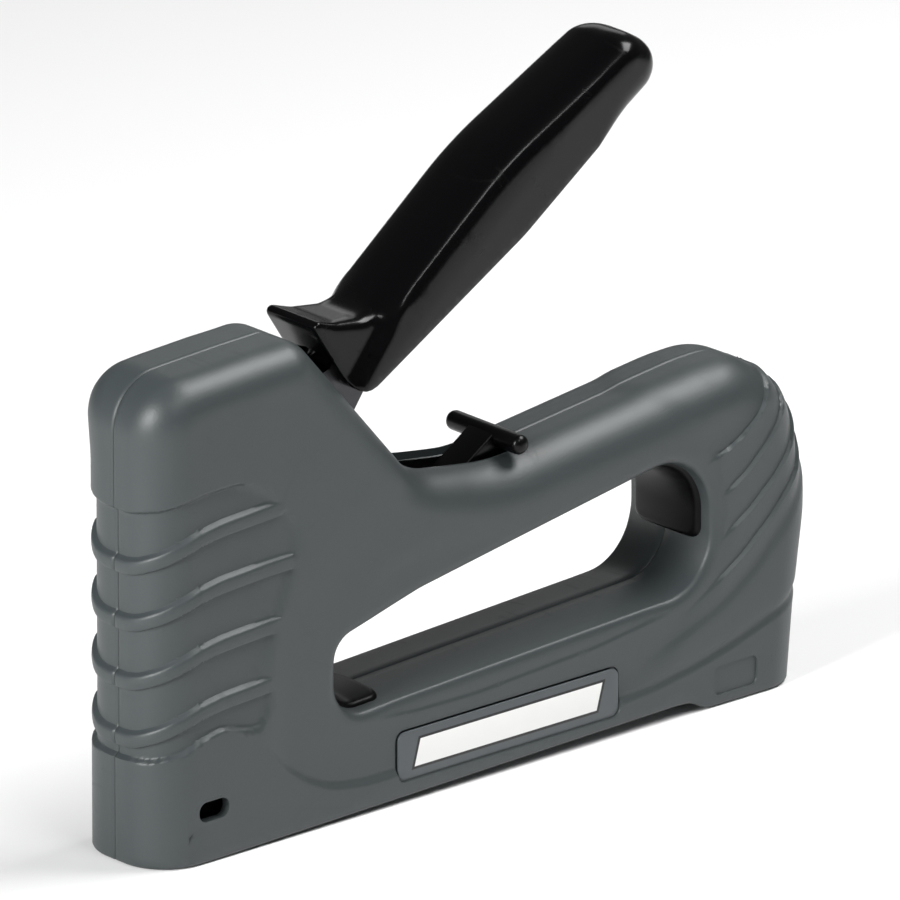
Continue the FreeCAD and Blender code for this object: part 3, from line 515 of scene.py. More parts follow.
def body_skin(with_screws):
    """Outer and inner vertices, faces and bottom edge of one body shell, worked out on the +Y side."""
    skin = HalfSkin(top_path, body_roll, body_flat, body_half_width, body_start)
    heights = [0, 0.2, 0.7] + list(np.arange(2, 22.5, 1.5))
    for top in RIB_TOPS[::-1]:
        heights += [top + d for d in (-4.6, -4.0, -3.6, -3.42, -3.25, -3.0, -2.4, -1.7, -1.0, -0.5, -0.2, 0.1,
                                      0.45, 1.0, 2.2, 3.6, 5.0, 6.4)]
    heights = sorted(h for h in set(heights) if h < 78)
    heights = sorted(heights + list(np.arange(19.8, 25.0, 0.4)) + list(np.arange(75.2, 80.4, 0.4)))
    nose_rows = [heights[0]]
    for h in heights[1:] + [80.6, 81.2, 83, 85, 87.5, 90, 92.5, 95]:
        if h - nose_rows[-1] > 0.14:
            nose_rows.append(h)
    turns = np.linspace(95, slot_from[0] - 0.4, 62)[1:]
    throat = np.concatenate([[slot_from[0] - 0.15, slot_from[0]],
                             spaced(slot_from[0] + 0.8, slot_to[0] - 5, 1.2),
                             slot_to[0] - 5 * np.array([0.8, 0.6, 0.4, 0.25, 0.12, 0.04, 0.0])])
    grip = spaced(slot_to[0] + 0.6, top_path.nearest([(160, 75.5)])[0][0], 1.5)
    heel = spaced(grip[-1] + 0.6, exit_from[0] - 0.7, 0.55)
    foot = np.concatenate([[exit_from[0] - 0.12, exit_from[0]],
                           spaced(exit_from[0] + 0.6, top_path.length - 0.8, 0.9),
                           [top_path.length - 0.2, top_path.length]])
    columns = np.concatenate([nose_rows, turns, throat, grip, heel, foot])
    columns = columns[np.concatenate([[True], np.diff(columns) > 0.03])]

    def shear(s, x):
        return s + rib_rise(x) * rib_share(s)

    rows = np.linspace(0, 1, 21)[1:]
    rim, rim_normal, rim_plain = skin.rim(columns, rows, [0, 0.18, 0.42], shear)
    many, deep = rim.shape[:2]
    last = rim[:, -1][:, [0, 2]]

    # bottom edge of the side face, from the heel back to the nose
    low_x = np.arange(last[0, 0] + 1.2, last[-1, 0] - 0.6, 1.3)[::-1]
    bottom = np.column_stack([low_x, underside(low_x)])
    border = np.vstack([last, bottom])

    hole_s = np.linspace(0, opening_path.length, 236, endpoint=False)
    hole_out = -opening_path.out(hole_s)
    if inside(opening_path.at(hole_s[:1]) + hole_out[:1], opening_path.at(hole_s)).any():
        hole_out = -hole_out
    hole_rim = opening_path.at(hole_s) + hole_out * BEVEL_REACH
    window = Path(WINDOW, closed=True)
    window_loop = window.at(np.linspace(0, window.length, 36, endpoint=False))

    groups = []
    around = np.linspace(0, 2 * math.pi, 32, endpoint=False)
    circle = np.column_stack([np.cos(around), np.sin(around)])
    if with_screws:
        groups.append((np.vstack([place + circle * r for place in SCREWS
                                  for r in (SCREW_WAY, SCREW_WAY + 0.15, SCREW_WAY + 0.7)]), 0.12))
    for grow in (0.0, -0.14):
        groups.append((rectangle_loop(*LABEL, grow=grow, gap=0.6), 0.12))
        groups.append((rectangle_loop(*HEEL_PANEL, grow=grow, gap=0.6), 0.12))
    nose_x = np.concatenate([np.linspace(last[10, 0], 11.5, 6)[1:], np.arange(12.7, 41, 1.3)])
    turn = np.arccos(np.clip(1 - nose_x / 11.5, 0, 1))
    unrolled_x = np.where(nose_x < 11.5, 11.5 * (math.pi / 2 - turn) * -1 + 11.5, nose_x)
    rib_rows = np.array([h for h in nose_rows if 19 < h < 82])
    groups.append((np.array([(x, h + rib_rise(u) * rib_share(h)) for h in rib_rows
                             for x, u in zip(nose_x, unrolled_x)]), 0.13))
    for k, path in enumerate(TERRACES):
        offsets = (-1.2, -0.65, -0.3, 0.0, 0.3, 0.65, 1.2) if k < 4 else (-3, -1.6, -0.7, 0, 0.7, 1.6, 3)
        s = np.arange(0, path.length, 0.9)
        groups.append((np.vstack([path.at(s) - path.out(s) * o for o in offsets]), 0.13))
    s = np.arange(0, RING_EDGE.length, 1.1)
    groups.append((np.vstack([RING_EDGE.at(s) + RING_EDGE.out(s) * o
                              for o in (-0.9, -0.5, -0.25, 0, 0.25, 0.5, 0.9)]), 0.2))
    s = np.arange(0, BASE_RIDGE.length, 1.4)
    groups.append((np.vstack([BASE_RIDGE.at(s) + BASE_RIDGE.out(s) * o
                              for o in (-1.6, -1.2, -0.8, -0.3, 0.3, 0.8, 1.2, 1.7)]), 0.3))
    notch = [(8.62, z) for z in np.arange(4.7, 9.8, 0.5)] + [(8.5, z) for z in np.arange(4.6, 9.9, 0.5)]
    groups.append((np.array(notch), 0.1))
    for lift in (0.2, 0.7):
        groups.append((np.column_stack([low_x, underside(low_x) + lift]), 0.15))
    fringe = []
    for share in (1.25, 1.5, 1.75, 2.0):
        base = columns[::2]
        out = top_path.out(shear(base, 11.5 * np.ones_like(base)))
        spot = top_path.at(shear(base, 11.5 * np.ones_like(base)))
        fringe.append(spot - out * (body_roll(base) * 0.5305 * share)[:, None])
    groups.append((np.vstack(fringe), 0.5))
    around = [hole_rim + hole_out * d for d in (0.7, 1.6, 2.6, 4.0, 5.6)]
    groups.append((np.vstack(around), 0.5))
    gx, gz = np.meshgrid(np.arange(1, 188, 1.7), np.arange(1, 109, 1.7))
    gx[::2] += 0.85
    groups.append((np.column_stack([gx.ravel(), gz.ravel()]), 1.25))
    ledges = 5 if with_screws else 4     # the loops around the labels and screws come first
    for k in range(ledges, len(groups)):
        spots, gap = groups[k]
        clear = np.minimum(np.abs(from_rectangle(spots, *LABEL)),
                           np.abs(from_rectangle(spots, *HEEL_PANEL))) > 0.45
        groups[k] = (spots[clear], gap)
    flat_points, triangles = filled(border, [hole_rim, window_loop], groups)

    face, face_normal, face_plain = skin.face(flat_points)

    # wall of the hand opening, drawn in towards the seam, then rolling onto the face
    rise = np.array([SEAM_GAP, 0.22, 0.45, 2.5, 5.0, 7.5, 9.5, 11.0, BEVEL_START])
    sink = -OPENING_DRAFT * (1 - (rise / BEVEL_START) ** 2)
    sink[:2] += (0.28, 0.14)
    spot = opening_path.at(hole_s)
    hole_rows = len(rise) + 5
    first_hole = len(last) + len(bottom)
    ring_ids = np.arange(first_hole, first_hole + len(hole_s))
    ring_y = face[ring_ids, 1] - body_relief(face_plain[ring_ids]) * face_normal[ring_ids, 1]
    wall_points, wall_in = [], []
    for k in range(hole_rows):
        if k < len(rise):
            reach, y = sink[k], np.full(len(hole_s), rise[k])
        else:
            angle = (k - len(rise) + 1) / 6 * math.pi / 2
            reach = BEVEL_REACH * (1 - math.cos(angle))
            y = BEVEL_START + (ring_y - BEVEL_START) * math.sin(angle)
        p = spot + hole_out * reach
        q = spot + hole_out * (max(reach, 0) * 0.5 + 3.5)
        wall_points.append(np.column_stack([p[:, 0], y, p[:, 1]]))
        wall_in.append(np.column_stack([q[:, 0], np.minimum(y, HALF_WIDTH - WALL), q[:, 1]]))
    hole_wall = np.stack(wall_points, axis=1)
    hole_inner = np.stack(wall_in, axis=1)

    # outer and inner positions of every vertex
    relief = body_relief(rim_plain.reshape(-1, 2)).reshape(many, deep)
    on_seam = body_start(columns)[:, None] <= SEAM_GAP
    relief = relief + np.where(on_seam, 0.28 * (1 - ease(rim[..., 1], 0.0, 0.42)), 0)
    rim_low = rim[..., 2] - underside(rim[..., 0])
    relief = relief + 0.5 * np.clip(1 - rim_low / 0.7, 0, 1) ** 2
    rim_outer = rim - rim_normal * relief[..., None]
    relief = body_relief(face_plain)
    face_low = flat_points[:, 1] - underside(flat_points[:, 0])
    relief = relief + 0.5 * np.clip(1 - face_low / 0.7, 0, 1) ** 2
    face_outer = face - face_normal * relief[:, None]
    if with_screws:
        gap, seat = screw_gap(flat_points)
        in_hole = gap < SCREW_WAY + 0.05
        face_outer[in_hole, 1] = np.minimum(face_outer[in_hole, 1], seat[in_hole])

    def lifted(points):
        out = points.copy()
        low = underside(points[:, 0])
        out[:, 2] += WALL * np.clip(1 - (points[:, 2] - low) / 8, 0, 1)
        return out

    rim_inner = lifted((rim - rim_normal * WALL).reshape(-1, 3))
    s, off = opening_path.nearest(flat_points)
    push = 2.2 * np.clip(1 - (off - BEVEL_REACH) / 9.4, 0, 1)
    away = -opening_path.out(s) * (1 if (hole_out[0] == -opening_path.out(hole_s[:1])[0]).all() else -1)
    face_inner = face - face_normal * WALL
    face_inner[:, [0, 2]] += away * push[:, None]
    if with_screws:
        under_seat = np.minimum(face_inner[:, 1], seat - 1.4)
        face_inner[:, 1] += (under_seat - face_inner[:, 1]) * (1 - ease(gap, 3.7, 5.2))
    face_inner = lifted(face_inner)

    # one vertex list: rim, then the face beyond its border, then the wall of the opening
    face_ids = np.empty(len(flat_points), int)
    face_ids[:many] = np.arange(many) * deep + deep - 1
    face_ids[many:] = many * deep + np.arange(len(flat_points) - many)
    outer = np.vstack([rim_outer.reshape(-1, 3), face_outer[many:], hole_wall.reshape(-1, 3)])
    inner = np.vstack([rim_inner, face_inner[many:], hole_inner.reshape(-1, 3)])
    first_wall = many * deep + len(flat_points) - many
    wall_faces = grid_faces(first_wall, len(hole_s), hole_rows, closed=True)
    wall_last = first_wall + np.arange(len(hole_s)) * hole_rows + hole_rows - 1
    ring_final = face_ids[ring_ids]
    join = np.column_stack([wall_last, ring_final, np.roll(ring_final, -1), np.roll(wall_last, -1)])
    faces = [list(f) for f in grid_faces(0, many, deep)]
    faces += [list(face_ids[t]) for t in triangles]
    faces += [list(f) for f in wall_faces] + [list(f) for f in join]
    low_ids = np.concatenate([np.arange(deep), [], face_ids[many:first_hole][::-1],
                              (many - 1) * deep + np.arange(deep)[::-1]]).astype(int)
    return outer, inner, faces, low_ids


def oriented(points, faces):
    """The same faces, wound alike, with the side face of the +Y half looking outwards."""
    bm = bmesh.new()
    verts = [bm.verts.new(p) for p in points]
    for f in faces:
        if len(set(f)) > 2:
            bm.faces.new([verts[i] for i in f])
    bmesh.ops.recalc_face_normals(bm, faces=bm.faces)
    bm.verts.index_update()
    bm.normal_update()
    lean = sum(f.normal.y * f.calc_area() for f in bm.faces)
    result = [[v.index for v in f.verts] for f in bm.faces]
    bm.free()
    return [f[::-1] for f in result] if lean < 0 else result


def thick_shell(name, outer, inner, faces, low_ids, side):
    """Closed solid from an outer and an inner skin, with the flange under the magazine."""
    faces = oriented(outer, faces)
    n = len(outer)
    points = [outer, inner]
    solid = [list(f) for f in faces] + [[i + n for i in f[::-1]] for f in faces]
    low = {int(v): k for k, v in enumerate(low_ids)}
    under = outer[low_ids]
    way = np.column_stack([np.maximum(under[:, 0], MAGAZINE_FRONT), np.minimum(under[:, 1], MAGAZINE_HALF),
                           under[:, 2]])
    way_up = way + [0, 0, WALL]
    points += [way, way_up]
    step = len(low_ids)
    for a, b in border_edges(faces):
        if a in low and b in low and abs(low[a] - low[b]) == 1:
            wa, wb = 2 * n + low[a], 2 * n + low[b]
            solid += [[b, a, wa, wb], [wb, wa, wa + step, wb + step], [wb + step, wa + step, a + n, b + n]]
        else:
            solid.append([b, a, a + n, b + n])
    for k in (0, step - 1):
        v = int(low_ids[k])
        solid.append([v, 2 * n + k, 2 * n + k + step, v + n])
    points = np.vstack(points)
    points[:, 1] *= side
    return mesh_object(name, points, solid)


left_body = thick_shell("left_body_moulding", *body_skin(with_screws=True), 1)
right_body = thick_shell("right_body_moulding", *body_skin(with_screws=False), -1)


# ------------------------------------------------------------------ squeeze lever

PIVOT = np.array([51.3, 84.9])
LEVER_OUTLINE = [(3, 17, 3), (-1.4, 23.8, 1.2), (-2.6, 26.6, 1.3), (4.5, 24.6, 6), (14.5, 23.6, 9),
                 (49.8, 51.7, 90), (87.2, 71, 8), (102.6, 62, 6.5), (84.5, 52, 30), (56.7, 32.5, 45),
                 (10, 6.4, 5.5)]
LEVER_HALF = 10.7
LIP_HALF = 8.2
ARM_SLOT_HALF = 5.0
LEVER_WALL = 2.0
SKIRT_DRAFT = 0.13               # how fast the sides close in below the shoulders
TOP_SLOPE_DOWN = np.array([0.63, -0.777])
lever_path = Path([(PIVOT[0] + x, PIVOT[1] + z, bend) for x, z, bend in LEVER_OUTLINE], closed=True)
FLARE_LINE = Path([(PIVOT[0] + 24, PIVOT[1] + 33, 0), (PIVOT[0] + 17, PIVOT[1] + 20.5, 12),
                   (PIVOT[0] + 6.5, PIVOT[1] + 7.5, 20), (PIVOT[0] + 0, PIVOT[1] + 1.5, 0)])


def lever_at(x, z):
    return lever_path.nearest([(PIVOT[0] + x, PIVOT[1] + z)])[0][0]


lip_tip, lip_under, valley = lever_at(-2.6, 26.6), lever_at(-1.0, 23.2), lever_at(14.5, 22.5)
crown_from, crown_to = lever_at(22, 29), lever_at(84, 72.5)
end_mid, end_low, skirt_from = lever_at(92, 65), lever_at(87, 54), lever_at(80, 44.5)
skirt_to, front_wall_end = lever_at(12, 6.4), 0.4


def lever_half_width(x, z):
    p = np.column_stack([np.ravel(x), np.ravel(z)])
    below_top = (p - PIVOT - [22, 27]) @ TOP_SLOPE_DOWN
    half = LEVER_HALF - SKIRT_DRAFT * np.maximum(below_top - 7, 0)
    wide = LIP_HALF + (half - LIP_HALF) * ease(FLARE_LINE.side(p), -2.6, 2.0)
    return wide.reshape(np.shape(x))


def lever_roll(s):
    return np.interp(s, [lip_tip, lip_tip + 4, valley, crown_from, crown_to, end_mid, end_low, skirt_from],
                     [1.3, 2.0, 3.0, 5.6, 6.2, 8.0, 6.0, 1.0])


def lever_flat(s):
    half = lever_half_width(*lever_path.at(s).reshape(-1, 2).T).reshape(np.shape(s))
    share = np.interp(s, [lip_tip, lip_tip + 4, valley, crown_from, crown_to, end_mid, end_low, skirt_from],
                      [0.88, 0.75, 0.45, 0.0, 0.0, 0.15, 0.5, 0.92])
    return half * share


def lever_start(s):
    half = lever_half_width(*lever_path.at(s).reshape(-1, 2).T).reshape(np.shape(s))
    under = ease(s, end_low + 2, skirt_from) * (1 - ease(s, skirt_to - 2, skirt_to))
    return (half - 2.0) * under + ARM_SLOT_HALF * (1 - under) * ((s > skirt_to - 2) | (s < front_wall_end))


def squeeze_lever():
    skin = HalfSkin(lever_path, lever_roll, lever_flat, lever_half_width, lever_start, power=2.6)
    fine = spaced(lip_under - 3, lip_tip + 3, 0.4)
    columns = np.concatenate([
        spaced(0, lip_under - 3.4, 1.0), fine, spaced(fine[-1] + 0.6, crown_from, 0.7),
        spaced(crown_from + 1, crown_to - 6, 1.6), spaced(crown_to - 5.4, skirt_from, 0.8),
        spaced(skirt_from + 1, lever_path.length - 1, 1.6)])
    rim, rim_normal, _ = skin.rim(columns, np.linspace(0, 1, 25)[1:], [0.0])
    many, deep = rim.shape[:2]
    last = rim[:, -1][:, [0, 2]]
    s = np.arange(0, FLARE_LINE.length, 0.9)
    flare = np.vstack([FLARE_LINE.at(s) + FLARE_LINE.out(s) * o for o in np.arange(-3.0, 3.1, 0.6)])
    ring = [rim[::2, -1][:, [0, 2]] - lever_path.out(columns[::2]) * d for d in (0.8, 1.7, 2.8, 4.2)]
    gx, gz = np.meshgrid(np.arange(40, 150, 1.9), np.arange(88, 160, 1.9))
    gx[::2] += 0.95
    groups = [(flare, 0.3), (np.vstack(ring), 0.45), (np.column_stack([gx.ravel(), gz.ravel()]), 1.4)]
    flat_points, triangles = filled(last, [], groups)
    face, face_normal, _ = skin.face(flat_points)
    ids = np.empty(len(flat_points), int)
    ids[:many] = np.arange(many) * deep + deep - 1
    ids[many:] = many * deep + np.arange(len(flat_points) - many)
    outer = np.vstack([rim.reshape(-1, 3), face[many:]])
    normal = np.vstack([rim_normal.reshape(-1, 3), face_normal[many:]])
    wall = LEVER_WALL - 1.1 * (1 - ease(outer[:, 0], PIVOT[0] - 6, PIVOT[0] + 6))
    inner = outer - normal * wall[:, None]
    inner[:, 1] = np.where(outer[:, 1] < 1e-6, 0, inner[:, 1])
    faces = [list(f) for f in grid_faces(0, many, deep, closed=True)] + [list(ids[t]) for t in triangles]
    return outer, inner, oriented(outer, faces)


def two_sided(name, outer, inner, faces):
    """Closed solid from one half of an outer and an inner skin, mirrored and joined at Y = 0."""
    n = len(outer)
    twin = np.where(outer[:, 1] < 1e-6, np.arange(n), np.arange(n) + n)
    other = outer * [1, -1, 1]
    other_in = inner * [1, -1, 1]
    full = [list(f) for f in faces] + [[int(twin[i]) for i in f[::-1]] for f in faces]
    full = [f for f in full if len(set(f)) > 2]
    solid = full + [[i + 2 * n for i in f[::-1]] for f in full]
    solid += [[b, a, a + 2 * n, b + 2 * n] for a, b in border_edges(full)]
    return mesh_object(name, np.vstack([outer, other, inner, other_in]), solid, sharp=44)


lever_shell = two_sided("lever_moulding", *squeeze_lever())


# ------------------------------------------------------------------ finger pads, badges, lock

PAD_HALF = 10.5
PAD_HIGH = 0.9
PAD_CORNER = 3.0


def wall_sink(y):
    """How far the wall of the hand opening is drawn in at the half width y."""
    return -OPENING_DRAFT * (1 - np.clip(np.abs(y) / BEVEL_START, 0, 1) ** 2)


def finger_pad(name, start, end):
    """Insert that follows the wall of the hand opening between two places, proud of it."""
    s_from = opening_path.nearest([start])[0][0]
    s_to = opening_path.nearest([end])[0][0]
    if s_from > s_to:
        s_from -= opening_path.length
    along = np.unique(np.concatenate([s_from + np.array([0, 0.15, 0.4, 0.8]),
                                      spaced(s_from + 1.3, s_to - 1.3, 0.7),
                                      s_to - np.array([0.8, 0.4, 0.15, 0])]))
    edge = np.array([0, 0.15, 0.4, 0.8])
    across = np.unique(np.concatenate([-PAD_HALF + edge, spaced(-PAD_HALF + 1.3, PAD_HALF - 1.3, 0.8),
                                       PAD_HALF - edge]))
    S, Y = np.meshgrid(along, across, indexing="ij")
    middle, half = (s_from + s_to) / 2, (s_to - s_from) / 2
    over = np.stack([np.abs(S - middle) - half + PAD_CORNER, np.abs(Y) - PAD_HALF + PAD_CORNER])
    edge_gap = PAD_CORNER - np.hypot(*np.maximum(over, 0)) - np.minimum(over.max(axis=0), 0)
    edge_gap = np.maximum(edge_gap, 0)
    lift = np.sqrt(np.clip(1 - (1 - np.clip(edge_gap / 1.1, 0, 1)) ** 2, 0, 1)) * (PAD_HIGH + 0.5) - 0.5
    out = opening_path.out(S.ravel()).reshape(S.shape + (2,))
    toward = out if inside([opening_path.at(s_from) + opening_path.out(np.array([s_from]))[0]],
                           opening_path.points)[0] else -out
    at = opening_path.at(S)
    layers = []
    for reach in (lift - wall_sink(Y), -1.4 - 0 * Y):
        p = at + toward * reach[..., None]
        layers.append(np.stack([p[..., 0], Y, p[..., 1]], axis=-1).reshape(-1, 3))
    a, b = S.shape
    top = [list(f) for f in grid_faces(0, a, b)]
    solid = top + [[i + a * b for i in f[::-1]] for f in top]
    solid += [[q, p, p + a * b, q + a * b] for p, q in border_edges(top)]
    return mesh_object(name, np.vstack(layers), solid, sharp=50)


def plate(outline, y_low, y_high, bevel):
    """Points and faces of a plate with eased edges, from a closed outline in the side view."""
    out = np.roll(outline, -1, axis=0) - np.roll(outline, 1, axis=0)
    out = np.column_stack([out[:, 1], -out[:, 0]]) / np.linalg.norm(out, axis=1)[:, None]
    if not inside([outline[0] - out[0] * 0.05], outline)[0]:
        out = -out
    turns = np.radians([0, 30, 60, 90])
    steps = [(y_low + bevel * (1 - math.sin(t)), bevel * (1 - math.cos(t))) for t in turns[::-1]]
    steps += [(y_high - bevel * (1 - math.sin(t)), bevel * (1 - math.cos(t))) for t in turns]
    rings = [np.column_stack([(outline - out * inset)[:, 0], np.full(len(outline), y),
                              (outline - out * inset)[:, 1]])
             for y, inset in steps]
    n, k = len(outline), len(rings)
    faces = [[r * n + i, r * n + (i + 1) % n, (r + 1) * n + (i + 1) % n, (r + 1) * n + i]
             for r in range(k - 1) for i in range(n)]
    faces += [list(range(n)), list(range((k - 1) * n, k * n))]
    return np.vstack(rings), faces


def joined(parts):
    points, faces, at = [], [], 0
    for p, f in parts:
        points.append(p)
        faces += [[i + at for i in g] for g in f]
        at += len(p)
    return np.vstack(points), faces


BADGE = (67.75, 4.9, 130.35, 15.6, 1.9)
badge_outline = rectangle_loop(*BADGE, gap=0.5)
badges = {}
for side, name in ((1, "left_badge"), (-1, "right_badge")):
    points, faces = plate(badge_outline, 13.4, 13.98, 0.14)
    points[:, 1] *= side
    badges[name] = mesh_object(name + "_plate", points, faces)

front_pad = finger_pad("front_finger_insert", (50.6, 33.0), (66.5, 23.1))
rear_pad = finger_pad("rear_finger_insert", (157.6, 37.0), (143.4, 58.1))

LOCK_PIVOT = np.array([88.7, 58.5])
LOCK_BAR = np.array([105.2, 71.2])
LOCK_HUB = 3.8
BAR_RADIUS = 2.2
BAR_HALF = 12.0
ARM_HALF = 4.0


def lock_arm_outline():
    """Hub, wedge and the seat of the cross bar as one outline."""
    run = (LOCK_BAR - LOCK_PIVOT) / np.linalg.norm(LOCK_BAR - LOCK_PIVOT)
    heading = math.atan2(run[1], run[0])
    hub = [LOCK_PIVOT + LOCK_HUB * np.array([math.cos(a), math.sin(a)])
           for a in heading + np.radians(np.arange(97, 264, 8))]
    tip = [LOCK_BAR + 2.0 * np.array([math.cos(a), math.sin(a)])
           for a in heading + np.radians(np.arange(-84, 86, 8))]
    return np.array(hub + tip)


def cross_bar():
    """Round bar across the lock with domed ends."""
    dome = np.linspace(0, math.pi / 2, 9)
    steps = [(BAR_HALF - BAR_RADIUS * 0.8 * (1 - math.sin(t)), BAR_RADIUS * math.cos(t)) for t in dome[:-1]]
    steps = [(-y, r) for y, r in steps[::-1]] + [(y, r) for y, r in steps]
    around = np.linspace(0, 2 * math.pi, 40, endpoint=False)
    rings = [np.column_stack([LOCK_BAR[0] + r * np.cos(around), np.full(40, y),
                              LOCK_BAR[1] + r * np.sin(around)])
             for y, r in steps]
    k = len(rings)
    faces = [[r * 40 + i, r * 40 + (i + 1) % 40, (r + 1) * 40 + (i + 1) % 40, (r + 1) * 40 + i]
             for r in range(k - 1) for i in range(40)]
    return np.vstack(rings), faces + [list(range(40)), list(range((k - 1) * 40, k * 40))]


lock = mesh_object("lock_with_cross_bar",
                   *joined([plate(lock_arm_outline(), -ARM_HALF, ARM_HALF, 0.5), cross_bar()]))


# ------------------------------------------------------------------ shell screws, one tree for all

FLOAT, COLOR = "NodeSocketFloat", "NodeSocketColor"


def add(tree, kind, **values):
    """Node with its properties set, and its inputs given by position (_0, _1) or by name."""
    node = tree.nodes.new(kind)
    for key, value in values.items():
        if key.startswith("_"):
            node.inputs[int(key[1:])].default_value = value
        elif hasattr(node, key):
            setattr(node, key, value)
        else:
            node.inputs[key].default_value = value
    return node


SCREW_HEAD = 2.7
SCREW_HEAD_HIGH = 1.5
SCREW_SLOT = 0.75
SCREW_SHANK = 1.3
SCREW_LONG = 9.0


def screw_tree():
    """Geometry nodes: a cross-recessed screw on every point, each turned by its own angle."""
    tree = bpy.data.node_groups.new("cross_recess_screws", "GeometryNodeTree")
    sockets = {}
    for label, kind, value in (
            ("Points", "NodeSocketGeometry", None), ("Head Radius", FLOAT, SCREW_HEAD * MM),
            ("Head Height", FLOAT, SCREW_HEAD_HIGH * MM), ("Slot Width", FLOAT, SCREW_SLOT * MM),
            ("Shank Radius", FLOAT, SCREW_SHANK * MM), ("Shank Length", FLOAT, SCREW_LONG * MM),
            ("Seed", "NodeSocketInt", 4), ("Finish", "NodeSocketMaterial", None)):
        socket = tree.interface.new_socket(label, in_out="INPUT", socket_type=kind)
        sockets[label] = socket.identifier
        if value is not None:
            socket.default_value = value
    tree.interface.new_socket("Screws", in_out="OUTPUT", socket_type="NodeSocketGeometry")
    given, result = tree.nodes.new("NodeGroupInput"), tree.nodes.new("NodeGroupOutput")
    link = tree.links.new

    def scaled(label, by):
        node = add(tree, "ShaderNodeMath", operation="MULTIPLY", _1=by)
        link(given.outputs[label], node.inputs[0])
        return node.outputs[0]

    def vector(x, y, z):
        node = add(tree, "ShaderNodeCombineXYZ")
        for socket, value in zip(node.inputs, (x, y, z)):
            if hasattr(value, "links"):
                link(value, socket)
            else:
                socket.default_value = value
        return node.outputs[0]

    def cylinder(radius, length, sides):
        node = add(tree, "GeometryNodeMeshCylinder", Vertices=sides)
        link(given.outputs[radius], node.inputs["Radius"])
        link(given.outputs[length], node.inputs["Depth"])
        return node.outputs["Mesh"]

    def moved(mesh, offset):
        node = add(tree, "GeometryNodeTransform")
        link(mesh, node.inputs["Geometry"])
        link(offset, node.inputs["Translation"])
        return node.outputs[0]

    cut = add(tree, "GeometryNodeMeshBoolean", operation="DIFFERENCE")
    link(cylinder("Head Radius", "Head Height", 48), cut.inputs["Mesh 1"])
    long, wide, deep = scaled("Head Radius", 1.25), given.outputs["Slot Width"], scaled("Head Height", 1.1)
    for size in (vector(long, wide, deep), vector(wide, long, deep)):
        box = add(tree, "GeometryNodeMeshCube")
        link(size, box.inputs["Size"])
        link(moved(box.outputs["Mesh"], vector(0.0, 0.0, scaled("Head Height", 0.5))), cut.inputs["Mesh 2"])
    drop = add(tree, "ShaderNodeMath", operation="MULTIPLY_ADD", _1=-0.5)
    link(given.outputs["Shank Length"], drop.inputs[0])
    link(scaled("Head Height", -0.4), drop.inputs[2])
    whole = add(tree, "GeometryNodeJoinGeometry")
    link(cut.outputs["Mesh"], whole.inputs[0])
    link(moved(cylinder("Shank Radius", "Shank Length", 24),
               vector(0.0, 0.0, drop.outputs[0])), whole.inputs[0])
    turn = add(tree, "FunctionNodeRandomValue", data_type="FLOAT")
    link(given.outputs["Seed"], turn.inputs["Seed"])
    place = add(tree, "GeometryNodeInstanceOnPoints")
    link(given.outputs["Points"], place.inputs["Points"])
    link(whole.outputs[0], place.inputs["Instance"])
    angle = add(tree, "ShaderNodeMath", operation="MULTIPLY", _1=math.pi / 2)
    link(turn.outputs[1], angle.inputs[0])
    link(vector(-math.pi / 2, angle.outputs[0], 0.0), place.inputs["Rotation"])
    real = add(tree, "GeometryNodeRealizeInstances")
    link(place.outputs[0], real.inputs[0])
    finish = add(tree, "GeometryNodeSetMaterial")
    link(real.outputs[0], finish.inputs["Geometry"])
    link(given.outputs["Finish"], finish.inputs["Material"])
    link(finish.outputs[0], result.inputs[0])
    return tree, sockets


def shell_screws(finish):
    """The screws that hold the shells together, as one mesh at the origin."""
    spots = np.column_stack([SCREWS[:, 0], SCREW_SEATS + 0.05 + SCREW_HEAD_HIGH / 2, SCREWS[:, 1]])
    mesh = bpy.data.meshes.new("screw_places")
    mesh.from_pydata([tuple(p) for p in placed(spots)], [], [])
    thing = bpy.data.objects.new("cross_recess_shell_screws", mesh)
    collection.objects.link(thing)
    tree, sockets = screw_tree()
    step = thing.modifiers.new("screws", "NODES")
    step.node_group = tree
    step[sockets["Seed"]] = 7
    step[sockets["Finish"]] = finish
    thing.update_tag()
    bpy.context.view_layer.update()
    made = bpy.data.meshes.new_from_object(thing.evaluated_get(bpy.context.evaluated_depsgraph_get()))
    thing.modifiers.clear()
    thing.data = made
    made.name = "cross_recess_shell_screws"
    return thing


# ------------------------------------------------------------------ shared surface effects

def group_tree(name, inputs, outputs):
    """Shader node group with named inputs (name, type, value) and outputs (name, type)."""
    tree = bpy.data.node_groups.new(name, "ShaderNodeTree")
    for label, kind, value in inputs:
        socket = tree.interface.new_socket(label, in_out="INPUT", socket_type=kind)
        if value is not None:
            socket.default_value = value
    for label, kind in outputs:
        tree.interface.new_socket(label, in_out="OUTPUT", socket_type=kind)
    return tree, tree.nodes.new("NodeGroupInput"), tree.nodes.new("NodeGroupOutput")


